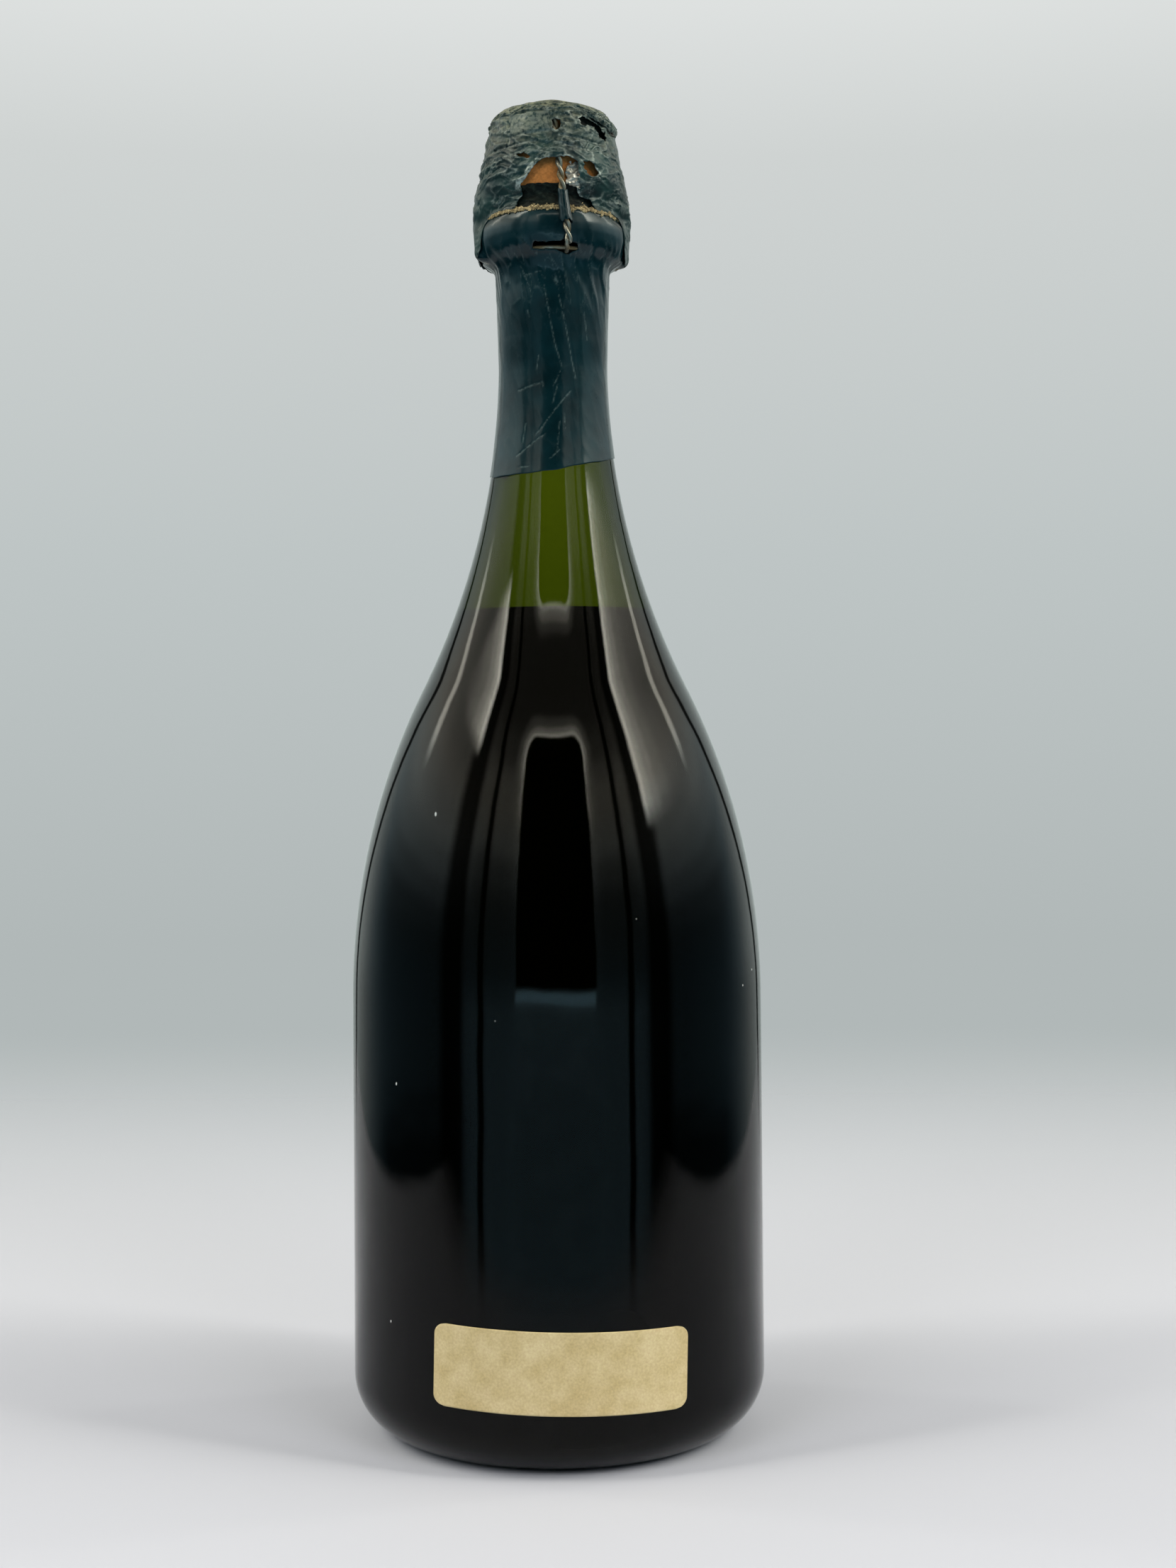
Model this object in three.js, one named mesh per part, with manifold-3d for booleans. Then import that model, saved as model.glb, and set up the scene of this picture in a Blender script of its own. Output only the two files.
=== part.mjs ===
// A corked bottle of old sparkling wine, standing upright: heavy green glass with a deep punt, the wine,
// a cork in three layers, its cap plate and wire cage, a torn foil hood, a foil neck sleeve and a label.
// Millimetres, +Z up. The origin is the centre of the foot, on the table, and the front faces -Y.
// Angles about the axis are counted from the front, towards +X.
import * as THREE from 'three';
import { mergeVertices } from 'three/addons/utils/BufferGeometryUtils.js';
import Module from 'manifold-3d';

const wasm = await Module();
wasm.setup();
const { degToRad, lerp, clamp, smoothstep } = THREE.MathUtils;

// Fits
const CLEARANCE = 0.3;
const FOIL_GAP = 0.2;
const GLUE_LINE = 0.1;

// Glass, from the foot up
const BASE_RADIUS = 46.9;
const HEEL_RADIUS = 9;
const PUNT_RADIUS = 32;
const PUNT_DEPTH = 30;
const BASE_THICKNESS = 6;
const FOOT_WALL = 5;
const FOOT_THICKNESS = 5;
const BODY_RADIUS = 46.7;
const BODY_WALL = 4;
const BODY_HEIGHT = 99;
const SHOULDER_HEIGHT = 146;
const SHOULDER_ARC = 155;
const NECK_RADIUS = 12.2;
const NECK_HEIGHT = 23;
const THROAT_RADIUS = 12.6;
const BORE_RADIUS = 9;
const MOUTH_ROUND = 0.8;
const RING_RADIUS = 16;
const RING_HEIGHT = 8.5;
const RING_TOP_ROUND = 3.4;
const RING_LOW_ROUND = 1.2;
const RING_UNDERCUT = 0.6;

// Wine
const WINE_LEVEL = 186.5;

// Cork
const CORK_INSERT = 24;
const CORK_DISC = 5.5;
const CORK_RISE = 3.5;
const CORK_HEAD_HEIGHT = 18.6;
const CORK_HEAD_RADIUS = 14.9;
const CORK_TOP_RADIUS = 12.2;
const CORK_EDGE_ROUND = 1.2;
const CORK_CROWN_ROUND = 3.5;

// Cap plate on the cork
const CAP_THICKNESS = 0.4;
const CAP_WRAP = degToRad(55);
const CAP_BUTTON_RADIUS = 6.5;
const CAP_BUTTON_RISE = 0.5;

// Wire cage: one frame wire bent into four twisted legs, and one belt wire under the ring
const FRAME_WIRE = 0.7;
const FRAME_PAIR_OFFSET = 0.63;
const LEG_COUNT = 4;
const LEG_TURNS = 3.75;
const LEG_LEAN = degToRad(11.8);
const FRONT_LEG_ANGLE = degToRad(7.8);
const EYELET_BLEND = 3;
const CROWN_RADIUS = 8.8;
const CROWN_BEND = 1.2;
const BELT_WIRE = 0.8;
const BELT_PAIR_OFFSET = 0.69;
const BELT_DROP = 2.2;
const BELT_BEND = 1.2;
const EYE_ANGLE = degToRad(142.8);
const EYE_STEM = 9.5;
const EYE_LENGTH = 8;
const EYE_HALF_WIDTH = 3;
const EYE_TURNS = 2;
const EYE_FULLNESS = 0.6;

// Foil
const FOIL_THICKNESS = 0.25;
const HOOD_EASE = 0.4;
const HOOD_FOLD_WIDTH = 2.4;
const HOOD_EYE_WIDTH = 5;
const SLEEVE_LENGTH = 44.8;
const SLEEVE_TILT = 2;
const SLEEVE_FLARE = 2.6;

// Tear in the front of the hood: across, and above the lip of the bottle
const TEAR = [
  [-8.1, -1.2], [-6.8, 3.4], [-4.7, 6.2], [-1.9, 8.6], [1.8, 9.2], [4.3, 9.2],
  [6.1, 7.8], [5.4, 3.8], [7.4, 1.8], [9.1, 1], [11.4, -1.8], [1, -0.6],
];
const SLIT_LEFT = -3.5;
const SLIT_RIGHT = 6.3;
const SLIT_RISE = 1.8;

// Label
const LABEL_WIDTH = 51.8;
const LABEL_HEIGHT = 17.5;
const LABEL_CORNER = 2.2;
const LABEL_CENTRE = 23.15;
const LABEL_TILT = degToRad(-0.9);
const LABEL_THICKNESS = 0.2;

// Fineness of the round forms
const ROUND_SEGMENTS = 40;
const CORK_SEGMENTS = 32;
const HOOD_SEGMENTS = 64;
const FLANK_STEPS = 10;
const ARC_STEPS = 4;
const WIRE_SIDES = 5;
const LEG_STEPS = 30;
const STEM_STEPS = 16;
const LOOP_STEPS = 8;
const CROWN_STEPS = 6;
const BELT_STEPS = 40;
const WELD = 1e-4;

// Heights and radii that follow from the driving dimensions
const FULL_TURN = 2 * Math.PI;
const QUARTER_TURN = Math.PI / 2;
const NECK_START = BODY_HEIGHT + SHOULDER_HEIGHT;
const RING_BOTTOM = NECK_START + NECK_HEIGHT;
const LIP = RING_BOTTOM + RING_HEIGHT;
const NECK_WALL = NECK_RADIUS - BORE_RADIUS;
const CORK_EDGE = LIP + CORK_RISE + CORK_EDGE_ROUND;
const CORK_TOP = LIP + CORK_RISE + CORK_HEAD_HEIGHT;
const CROWN_CENTRE = [CORK_TOP_RADIUS - CORK_CROWN_ROUND, CORK_TOP - CORK_CROWN_ROUND];
const CAP_ROUND = CORK_CROWN_ROUND + CLEARANCE + CAP_THICKNESS;
const FRAME_PAIR = FRAME_PAIR_OFFSET + FRAME_WIRE / 2;
const BELT_PAIR = BELT_PAIR_OFFSET + BELT_WIRE / 2;
const LEG_STAND = CLEARANCE + FRAME_PAIR;
const STEM_STAND = CLEARANCE + BELT_PAIR;
const BELT_RADIUS = THROAT_RADIUS + CLEARANCE + FRAME_WIRE + CLEARANCE + BELT_WIRE / 2;
const BELT_HEIGHT = RING_BOTTOM - BELT_DROP;
const EYELET_OFFSET = BELT_WIRE / 2 + CLEARANCE + FRAME_WIRE / 2;
const SLEEVE_TOP = BELT_HEIGHT - EYELET_OFFSET - FRAME_WIRE / 2 - CLEARANCE;
const HOOD_BOTTOM = SLEEVE_TOP + CLEARANCE;

// Shared helpers

function polar(radius, angle, height) {
  return new THREE.Vector3(radius * Math.sin(angle), -radius * Math.cos(angle), height);
}

// Points of an arc in a profile, as [radius, height], from one angle to another above the horizontal
function arc([centreRadius, centreHeight], size, from, to, steps = ARC_STEPS) {
  return Array.from({ length: steps + 1 }, (_, step) => {
    const angle = lerp(from, to, step / steps);
    return [centreRadius + size * Math.cos(angle), centreHeight + size * Math.sin(angle)];
  });
}

function revolve(profile, segments = ROUND_SEGMENTS) {
  const points = profile.map(([radius, height]) => new THREE.Vector2(radius, height));
  return new THREE.LatheGeometry(points, segments).rotateX(QUARTER_TURN);
}

// A turned form whose rows change with the angle: each row gives [radius, height] for an angle
function revolveRows(rows, segments) {
  const geometry = revolve(rows.map((row) => row(0)), segments);
  const position = geometry.getAttribute('position');
  for (let step = 0; step <= segments; step += 1) {
    const angle = (step % segments) / segments * FULL_TURN;
    rows.forEach((row, index) => {
      const [radius, height] = row(angle);
      const spot = polar(radius, angle, height);
      position.setXYZ(step * rows.length + index, spot.x, spot.y, spot.z);
    });
  }
  return geometry;
}

function solid(geometry) {
  const bare = geometry.clone();
  bare.deleteAttribute('normal');
  bare.deleteAttribute('uv');
  const merged = mergeVertices(bare.index ? bare : mergeVertices(bare), WELD);
  const vertProperties = new Float32Array(merged.getAttribute('position').array);
  const triVerts = new Uint32Array(merged.index.array);
  return new wasm.Manifold(new wasm.Mesh({ numProp: 3, vertProperties, triVerts }));
}

function geometryOf(body) {
  const mesh = body.getMesh();
  const geometry = new THREE.BufferGeometry();
  const position = new THREE.Float32BufferAttribute(mesh.vertProperties, mesh.numProp);
  geometry.setAttribute('position', position);
  geometry.setIndex(Array.from(mesh.triVerts));
  return geometry;
}

// An upright outline, across and up, pushed back from the front by a depth
function frontPrism(shape, front, depth) {
  const options = { depth, bevelEnabled: false, curveSegments: ARC_STEPS };
  const geometry = new THREE.ExtrudeGeometry(shape, options);
  return geometry.rotateX(QUARTER_TURN).translate(0, front + depth, 0);
}

// Radius of the bottle's flank at a height, drawn in by the given insets at the body and at the neck.
// The shoulder is one arc, and the neck's arc is the one that meets it with no corner.
function flankRadius(height, bodyInset, neckInset) {
  const body = BODY_RADIUS - bodyInset;
  const neck = NECK_RADIUS - neckInset;
  const drop = body - neck;
  const shoulderArc = SHOULDER_ARC - bodyInset;
  const bothArcs = (drop ** 2 + SHOULDER_HEIGHT ** 2) / (2 * drop);
  const neckArc = bothArcs - shoulderArc;
  const meeting = BODY_HEIGHT + SHOULDER_HEIGHT * shoulderArc / bothArcs;
  if (height <= BODY_HEIGHT) {
    const share = clamp((height - HEEL_RADIUS) / (BODY_HEIGHT - HEEL_RADIUS), 0, 1);
    return lerp(BASE_RADIUS - bodyInset, body, share);
  }
  if (height <= meeting) {
    return body - shoulderArc + Math.sqrt(shoulderArc ** 2 - (height - BODY_HEIGHT) ** 2);
  }
  if (height <= NECK_START) {
    return neck + neckArc - Math.sqrt(neckArc ** 2 - (NECK_START - height) ** 2);
  }
  return neck;
}

// Heights at which the flank is drawn, between two limits that are drawn too
function flankHeights(low, high) {
  const rise = SHOULDER_HEIGHT / FLANK_STEPS;
  const steps = Array.from({ length: FLANK_STEPS + 1 }, (_, step) => BODY_HEIGHT + rise * step);
  return [low, ...steps.filter((height) => height > low && height < high), high];
}

function flank(low, high, bodyInset, neckInset) {
  return flankHeights(low, high).map((height) => [flankRadius(height, bodyInset, neckInset), height]);
}

// Inside of the base, from the wall over the groove to the top of the mound, kept off the glass by a gap
function innerBase(gap) {
  const wall = BASE_RADIUS - BODY_WALL - gap;
  const moundRadius = PUNT_RADIUS + FOOT_WALL + gap;
  const moundTop = PUNT_DEPTH + BASE_THICKNESS + gap;
  const groove = (wall - moundRadius) / 2;
  const grooveTop = FOOT_THICKNESS + gap + groove;
  const mound = arc([0, 0], 1, 0, QUARTER_TURN, ARC_STEPS + 1).map(([across, up]) => [
    across * moundRadius,
    lerp(grooveTop, moundTop, up),
  ]);
  mound[mound.length - 1][0] = 0;
  return [...arc([moundRadius + groove, grooveTop], groove, 0, -Math.PI), ...mound.slice(1)];
}

// Bottle

function bottleGlass() {
  const punt = arc([0, 0], 1, QUARTER_TURN, 0, ARC_STEPS + 1).map(([across, up]) => [
    across * PUNT_RADIUS,
    up * PUNT_DEPTH,
  ]);
  punt[0][0] = 0;
  punt[punt.length - 1][1] = 0;
  const heel = arc([BASE_RADIUS - HEEL_RADIUS, HEEL_RADIUS], HEEL_RADIUS, -QUARTER_TURN, 0);
  heel[0][1] = 0;
  const ring = [
    [THROAT_RADIUS, RING_BOTTOM - RING_UNDERCUT],
    ...arc([RING_RADIUS - RING_LOW_ROUND, RING_BOTTOM + RING_LOW_ROUND], RING_LOW_ROUND, -QUARTER_TURN, 0),
    ...arc([RING_RADIUS - RING_TOP_ROUND, LIP - RING_TOP_ROUND], RING_TOP_ROUND, 0, QUARTER_TURN),
    ...arc([BORE_RADIUS + MOUTH_ROUND, LIP - MOUTH_ROUND], MOUTH_ROUND, QUARTER_TURN, Math.PI),
  ];
  const outside = flank(HEEL_RADIUS, NECK_START, 0, 0).slice(1);
  const inside = flank(FOOT_THICKNESS + HEEL_RADIUS, NECK_START, BODY_WALL, NECK_WALL).reverse();
  return revolve([...punt, ...heel, ...outside, ...ring, ...inside, ...innerBase(0)]);
}

function wine() {
  const bottom = FOOT_THICKNESS + HEEL_RADIUS;
  const side = flank(bottom, WINE_LEVEL, BODY_WALL + CLEARANCE, NECK_WALL + CLEARANCE);
  return revolve([...innerBase(CLEARANCE).reverse(), ...side, [0, WINE_LEVEL]]);
}

// Cork, its layers glued end to end in the bore

function corkDisc(order) {
  const bottom = LIP - CORK_INSERT + order * (CORK_DISC + GLUE_LINE);
  const top = bottom + CORK_DISC;
  const radius = BORE_RADIUS - CLEARANCE;
  return revolve([[0, bottom], [radius, bottom], [radius, top], [0, top]], CORK_SEGMENTS);
}

function corkBody() {
  const shank = BORE_RADIUS - CLEARANCE;
  const bottom = LIP - CORK_INSERT + 2 * (CORK_DISC + GLUE_LINE);
  const edge = [CORK_HEAD_RADIUS - CORK_EDGE_ROUND, CORK_EDGE];
  return revolve([
    [0, bottom],
    [shank, bottom],
    [shank, LIP],
    ...arc(edge, CORK_EDGE_ROUND, -QUARTER_TURN, 0),
    ...arc(CROWN_CENTRE, CORK_CROWN_ROUND, 0, QUARTER_TURN),
    [0, CORK_TOP],
  ], CORK_SEGMENTS);
}

// A pressed plate that follows the cork's rounded top, with a raised button inside the crown of the cage
function capPlate() {
  const rim = QUARTER_TURN - CAP_WRAP;
  const under = CAP_ROUND - CAP_THICKNESS;
  const top = CROWN_CENTRE[1] + CAP_ROUND;
  const bottom = CROWN_CENTRE[1] + under;
  return revolve([
    [0, bottom + CAP_BUTTON_RISE],
    [CAP_BUTTON_RADIUS - CAP_BUTTON_RISE, bottom + CAP_BUTTON_RISE],
    [CAP_BUTTON_RADIUS, bottom],
    ...arc(CROWN_CENTRE, under, QUARTER_TURN, rim),
    ...arc(CROWN_CENTRE, CAP_ROUND, rim, QUARTER_TURN),
    [CAP_BUTTON_RADIUS + CAP_THICKNESS, top],
    [CAP_BUTTON_RADIUS + CAP_THICKNESS - CAP_BUTTON_RISE, top + CAP_BUTTON_RISE],
    [0, top + CAP_BUTTON_RISE],
  ], CORK_SEGMENTS);
}

// Wire cage

// A closed wire along a ring of points. One normal is carried along without twist, and what is left over
// when the ring closes is shared out along it.
function closedWire(path, radius) {
  const count = path.length;
  const tangents = path.map((_, index) => {
    const before = path[(index + count - 1) % count];
    return path[(index + 1) % count].clone().sub(before).normalize();
  });
  const carry = new THREE.Quaternion();
  const normals = [new THREE.Vector3(0, 0, 1).cross(tangents[0]).normalize()];
  for (let index = 1; index <= count; index += 1) {
    carry.setFromUnitVectors(tangents[index - 1], tangents[index % count]);
    normals.push(normals[index - 1].clone().applyQuaternion(carry));
  }
  const closing = normals[count].clone().cross(normals[0]).dot(tangents[0]);
  const leftOver = Math.atan2(closing, normals[count].dot(normals[0]));
  const positions = [];
  const faces = [];
  path.forEach((spot, index) => {
    const normal = normals[index].clone().applyAxisAngle(tangents[index], leftOver * index / count);
    for (let side = 0; side < WIRE_SIDES; side += 1) {
      const spoke = normal.clone().applyAxisAngle(tangents[index], FULL_TURN * side / WIRE_SIDES);
      positions.push(...spoke.multiplyScalar(radius).add(spot).toArray());
      const here = index * WIRE_SIDES + side;
      const beside = index * WIRE_SIDES + (side + 1) % WIRE_SIDES;
      const ahead = (here + WIRE_SIDES) % (count * WIRE_SIDES);
      const aheadBeside = (beside + WIRE_SIDES) % (count * WIRE_SIDES);
      faces.push(here, beside, ahead, beside, aheadBeside, ahead);
    }
  });
  const geometry = new THREE.BufferGeometry();
  geometry.setAttribute('position', new THREE.Float32BufferAttribute(positions, 3));
  geometry.setIndex(faces);
  return geometry;
}

// Least gap between stretches of a closed wire that are not neighbours along it
function leastGap(path, diameter) {
  const dense = path.flatMap((spot, index) => {
    const next = path[(index + 1) % path.length];
    return [spot, spot.clone().lerp(next, 0.5)];
  });
  const along = [0];
  dense.forEach((spot, index) => {
    const next = dense[(index + 1) % dense.length];
    along.push(along[index] + spot.distanceTo(next));
  });
  const round = along[dense.length];
  let least = Infinity;
  for (let first = 0; first < dense.length; first += 1) {
    for (let second = first + 1; second < dense.length; second += 1) {
      const apart = along[second] - along[first];
      if (Math.min(apart, round - apart) > Math.PI * diameter) {
        least = Math.min(least, dense[first].distanceTo(dense[second]) - diameter);
      }
    }
  }
  return least;
}

// Middle line of a leg in a plane through the axis, from the belt out round the ring and up over the cork
const CORK_MIDDLE = [(CORK_HEAD_RADIUS + CORK_TOP_RADIUS) / 2, (CORK_EDGE + CROWN_CENTRE[1]) / 2];
const capArc = arc(CROWN_CENTRE, CAP_ROUND + LEG_STAND, QUARTER_TURN - CAP_WRAP, Math.acos(
  (CROWN_RADIUS + CROWN_BEND - CROWN_CENTRE[0]) / (CAP_ROUND + LEG_STAND),
));
const legLine = new THREE.CatmullRomCurve3([
  [BELT_RADIUS, BELT_HEIGHT],
  [RING_RADIUS + FRAME_PAIR, RING_BOTTOM - FRAME_PAIR],
  [RING_RADIUS + LEG_STAND, RING_BOTTOM + RING_LOW_ROUND],
  [RING_RADIUS + LEG_STAND, LIP - RING_TOP_ROUND],
  [CORK_HEAD_RADIUS + LEG_STAND, CORK_EDGE],
  [CORK_MIDDLE[0] + LEG_STAND, CORK_MIDDLE[1]],
  [CORK_TOP_RADIUS + LEG_STAND, CROWN_CENTRE[1]],
  ...capArc,
].map(([radius, height]) => new THREE.Vector3(radius, 0, height)));
const CROWN_HEIGHT = legLine.getPoint(1).z;

// Middle line of the belt's folded stem and eye, which lie up against the ring and the cork
const eyeLine = new THREE.CatmullRomCurve3([
  [BELT_RADIUS + BELT_BEND, BELT_HEIGHT],
  [RING_RADIUS + BELT_PAIR, RING_BOTTOM - BELT_PAIR],
  [RING_RADIUS + STEM_STAND, RING_BOTTOM + RING_LOW_ROUND],
  [RING_RADIUS + STEM_STAND, LIP - RING_TOP_ROUND],
  [CORK_HEAD_RADIUS + STEM_STAND, CORK_EDGE],
  [CORK_TOP_RADIUS + STEM_STAND, CROWN_CENTRE[1]],
].map(([radius, height]) => new THREE.Vector3(radius, 0, height)));

// The legs lean a little round the bottle, because the cage was twisted as its belt was drawn tight
function legAngle(leg, height) {
  const rise = (height - BELT_HEIGHT) / (CROWN_HEIGHT - BELT_HEIGHT);
  return FRONT_LEG_ANGLE + leg * FULL_TURN / LEG_COUNT + LEG_LEAN * (0.5 - rise);
}

// A spot on a middle line with three directions: along the line, in towards the axis, and aside
function lineFrame(line, share, angleAt) {
  const place = (at) => {
    const point = line.getPointAt(clamp(at, 0, 1));
    return polar(point.x, angleAt(point.z), point.z);
  };
  const step = 0.002;
  const spot = place(share);
  const along = place(share + step).sub(place(share - step)).normalize();
  const round = polar(1, Math.atan2(spot.x, -spot.y) + QUARTER_TURN, 0);
  const inward = along.clone().cross(round).normalize();
  const aside = along.clone().cross(inward);
  return { spot, along, inward, aside };
}

function offSpot({ spot, inward, aside }, size, turn) {
  const moved = spot.clone().addScaledVector(inward, size * Math.cos(turn));
  return moved.addScaledVector(aside, size * Math.sin(turn));
}

// One strand of a leg, from its eyelet on the belt up to the crown
function legStrand(leg, phase) {
  const length = legLine.getLength();
  return Array.from({ length: LEG_STEPS + 1 }, (_, step) => {
    const share = step / LEG_STEPS;
    const frame = lineFrame(legLine, share, (height) => legAngle(leg, height));
    const blend = smoothstep(share * length, 0, EYELET_BLEND);
    const wound = clamp((share * length - EYELET_BLEND / 2) / (length - EYELET_BLEND), 0, 1);
    const spread = lerp(EYELET_OFFSET, FRAME_PAIR_OFFSET, blend);
    return offSpot(frame, spread, phase + FULL_TURN * LEG_TURNS * wound);
  });
}

// The turn under the belt that joins the two strands of a leg
function eyelet(leg) {
  const { spot, along, inward } = lineFrame(legLine, 0, (height) => legAngle(leg, height));
  return Array.from({ length: LOOP_STEPS - 1 }, (_, step) => {
    const turn = Math.PI * (step + 1) / LOOP_STEPS;
    const out = spot.clone().addScaledVector(inward, -EYELET_OFFSET * Math.cos(turn));
    return out.addScaledVector(along, -EYELET_OFFSET * Math.sin(turn));
  });
}

// Quarter bend from the radial direction to the round one, beside an angle: side 1 is towards larger angles
function quarterBend(angle, side, radius, bend, pairOffset, height) {
  const outward = polar(1, angle, 0);
  const round = polar(1, angle + QUARTER_TURN, 0);
  return Array.from({ length: ARC_STEPS }, (_, step) => {
    const turn = QUARTER_TURN * (step + 1) / ARC_STEPS;
    const out = radius + bend * (1 - Math.sin(turn));
    const beside = pairOffset + bend * (1 - Math.cos(turn));
    const spot = outward.clone().multiplyScalar(out).addScaledVector(round, side * beside);
    return spot.setZ(height);
  });
}

// Part of a circle between two angles, without its ends
function circle(radius, from, to, height, steps) {
  return Array.from({ length: steps - 1 }, (_, step) => {
    const angle = lerp(from, to, (step + 1) / steps);
    return polar(radius, angle, height);
  });
}

function cageFramePath() {
  const path = [];
  const crownRadius = Math.hypot(CROWN_RADIUS, FRAME_PAIR_OFFSET + CROWN_BEND);
  const crownStart = Math.atan2(FRAME_PAIR_OFFSET + CROWN_BEND, CROWN_RADIUS);
  for (let leg = 0; leg < LEG_COUNT; leg += 1) {
    const angle = legAngle(leg, CROWN_HEIGHT);
    const bend = (side) => quarterBend(
      angle, side, CROWN_RADIUS, CROWN_BEND, FRAME_PAIR_OFFSET, CROWN_HEIGHT,
    );
    const next = legAngle(leg + 1, CROWN_HEIGHT);
    path.push(
      ...bend(-1).reverse(),
      ...legStrand(leg, Math.PI).reverse(),
      ...eyelet(leg),
      ...legStrand(leg, 0),
      ...bend(1),
      ...circle(crownRadius, angle + crownStart, next - crownStart, CROWN_HEIGHT, CROWN_STEPS),
    );
  }
  return path;
}

// One strand of the belt's stem, with its half of the eye, from the belt to the top of the eye
function eyeStrand(phase, side) {
  const length = eyeLine.getLength();
  const frameAt = (along) => lineFrame(eyeLine, along / length, () => EYE_ANGLE);
  const stem = Array.from({ length: STEM_STEPS + 1 }, (_, step) => {
    const share = step / STEM_STEPS;
    return offSpot(frameAt(share * EYE_STEM), BELT_PAIR_OFFSET, phase + FULL_TURN * EYE_TURNS * share);
  });
  const half = Array.from({ length: LOOP_STEPS - 1 }, (_, step) => {
    const turn = Math.PI * (step + 1) / LOOP_STEPS;
    const rise = (1 - Math.cos(turn)) / 2;
    const beside = EYE_HALF_WIDTH * Math.sin(turn) * rise ** EYE_FULLNESS + BELT_PAIR_OFFSET * (1 - rise);
    return offSpot(frameAt(EYE_STEM + EYE_LENGTH * rise), side * beside, QUARTER_TURN);
  });
  return [...stem, ...half];
}

function cageBeltPath() {
  const bend = (side) => quarterBend(
    EYE_ANGLE, side, BELT_RADIUS, BELT_BEND, BELT_PAIR_OFFSET, BELT_HEIGHT,
  );
  const start = Math.atan2(BELT_PAIR_OFFSET + BELT_BEND, BELT_RADIUS);
  const radius = Math.hypot(BELT_RADIUS, BELT_PAIR_OFFSET + BELT_BEND);
  const tip = lineFrame(eyeLine, (EYE_STEM + EYE_LENGTH) / eyeLine.getLength(), () => EYE_ANGLE).spot;
  return [
    ...bend(1),
    ...circle(radius, EYE_ANGLE + start, EYE_ANGLE + FULL_TURN - start, BELT_HEIGHT, BELT_STEPS),
    ...bend(-1).reverse(),
    ...eyeStrand(QUARTER_TURN, 1),
    tip,
    ...eyeStrand(-QUARTER_TURN, -1).reverse(),
  ];
}

// Foil

// How far the hood is lifted at an angle and height by the wires under it: 1 on a leg, 0 between the legs
function hoodLift(angle, radius, height) {
  const bump = (centre, width) => {
    const apart = Math.atan2(Math.sin(angle - centre), Math.cos(angle - centre));
    return Math.exp(-((radius * apart / width) ** 4));
  };
  const legs = Array.from({ length: LEG_COUNT }, (_, leg) => bump(legAngle(leg, height), HOOD_FOLD_WIDTH));
  const eyeTop = BELT_HEIGHT + EYE_STEM + EYE_LENGTH;
  const legReach = LEG_STAND + FRAME_PAIR + FOIL_GAP - HOOD_EASE;
  const eyeReach = STEM_STAND + BELT_PAIR + FOIL_GAP - HOOD_EASE;
  const eyeSize = eyeReach / legReach;
  const eye = height < eyeTop ? eyeSize * bump(EYE_ANGLE, HOOD_EYE_WIDTH) : 0;
  return Math.max(...legs, eye);
}

// Rows of one face of the hood, from its lower edge to its top, at a distance from the inner face
function hoodRows(thickness) {
  const between = HOOD_EASE + thickness;
  const overLeg = LEG_STAND + FRAME_PAIR + FOIL_GAP + thickness;
  const side = (radius, height) => (angle) => {
    const lift = hoodLift(angle, radius, height);
    return [radius + lerp(between, overLeg, lift), height];
  };
  const crownLow = CROWN_HEIGHT + FRAME_WIRE / 2 + FOIL_GAP + thickness - CROWN_CENTRE[1];
  const crown = Array.from({ length: ARC_STEPS }, (_, step) => (angle) => {
    const tilt = QUARTER_TURN * (step + 1) / ARC_STEPS;
    const low = lerp(CORK_CROWN_ROUND + between, crownLow, Math.sin(tilt));
    const high = CAP_ROUND + overLeg;
    const lift = hoodLift(angle, CORK_TOP_RADIUS, CROWN_CENTRE[1]);
    const size = lerp(low, high, lift);
    return [CROWN_CENTRE[0] + size * Math.cos(tilt), CROWN_CENTRE[1] + size * Math.sin(tilt)];
  });
  return [
    side(RING_RADIUS, HOOD_BOTTOM),
    side(RING_RADIUS, LIP - RING_TOP_ROUND),
    side(CORK_HEAD_RADIUS, CORK_EDGE),
    side(...CORK_MIDDLE),
    side(CORK_TOP_RADIUS, CROWN_CENTRE[1]),
    ...crown,
    () => [0, CROWN_CENTRE[1] + crownLow],
  ];
}

function foilHood() {
  const rows = [...hoodRows(0).reverse(), ...hoodRows(FOIL_THICKNESS)];
  const reach = 2 * RING_RADIUS;
  const tear = new THREE.Shape(TEAR.map(([across, up]) => new THREE.Vector2(across, LIP + up)));
  const slit = new THREE.Shape([
    new THREE.Vector2(SLIT_LEFT, SLEEVE_TOP),
    new THREE.Vector2(SLIT_RIGHT, SLEEVE_TOP),
    new THREE.Vector2(SLIT_RIGHT, BELT_HEIGHT + SLIT_RISE),
    new THREE.Vector2(SLIT_LEFT, BELT_HEIGHT + SLIT_RISE),
  ]);
  const cut = (shape) => solid(frontPrism(shape, -reach, reach));
  return geometryOf(solid(revolveRows(rows, HOOD_SEGMENTS)).subtract(cut(tear)).subtract(cut(slit)));
}

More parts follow.
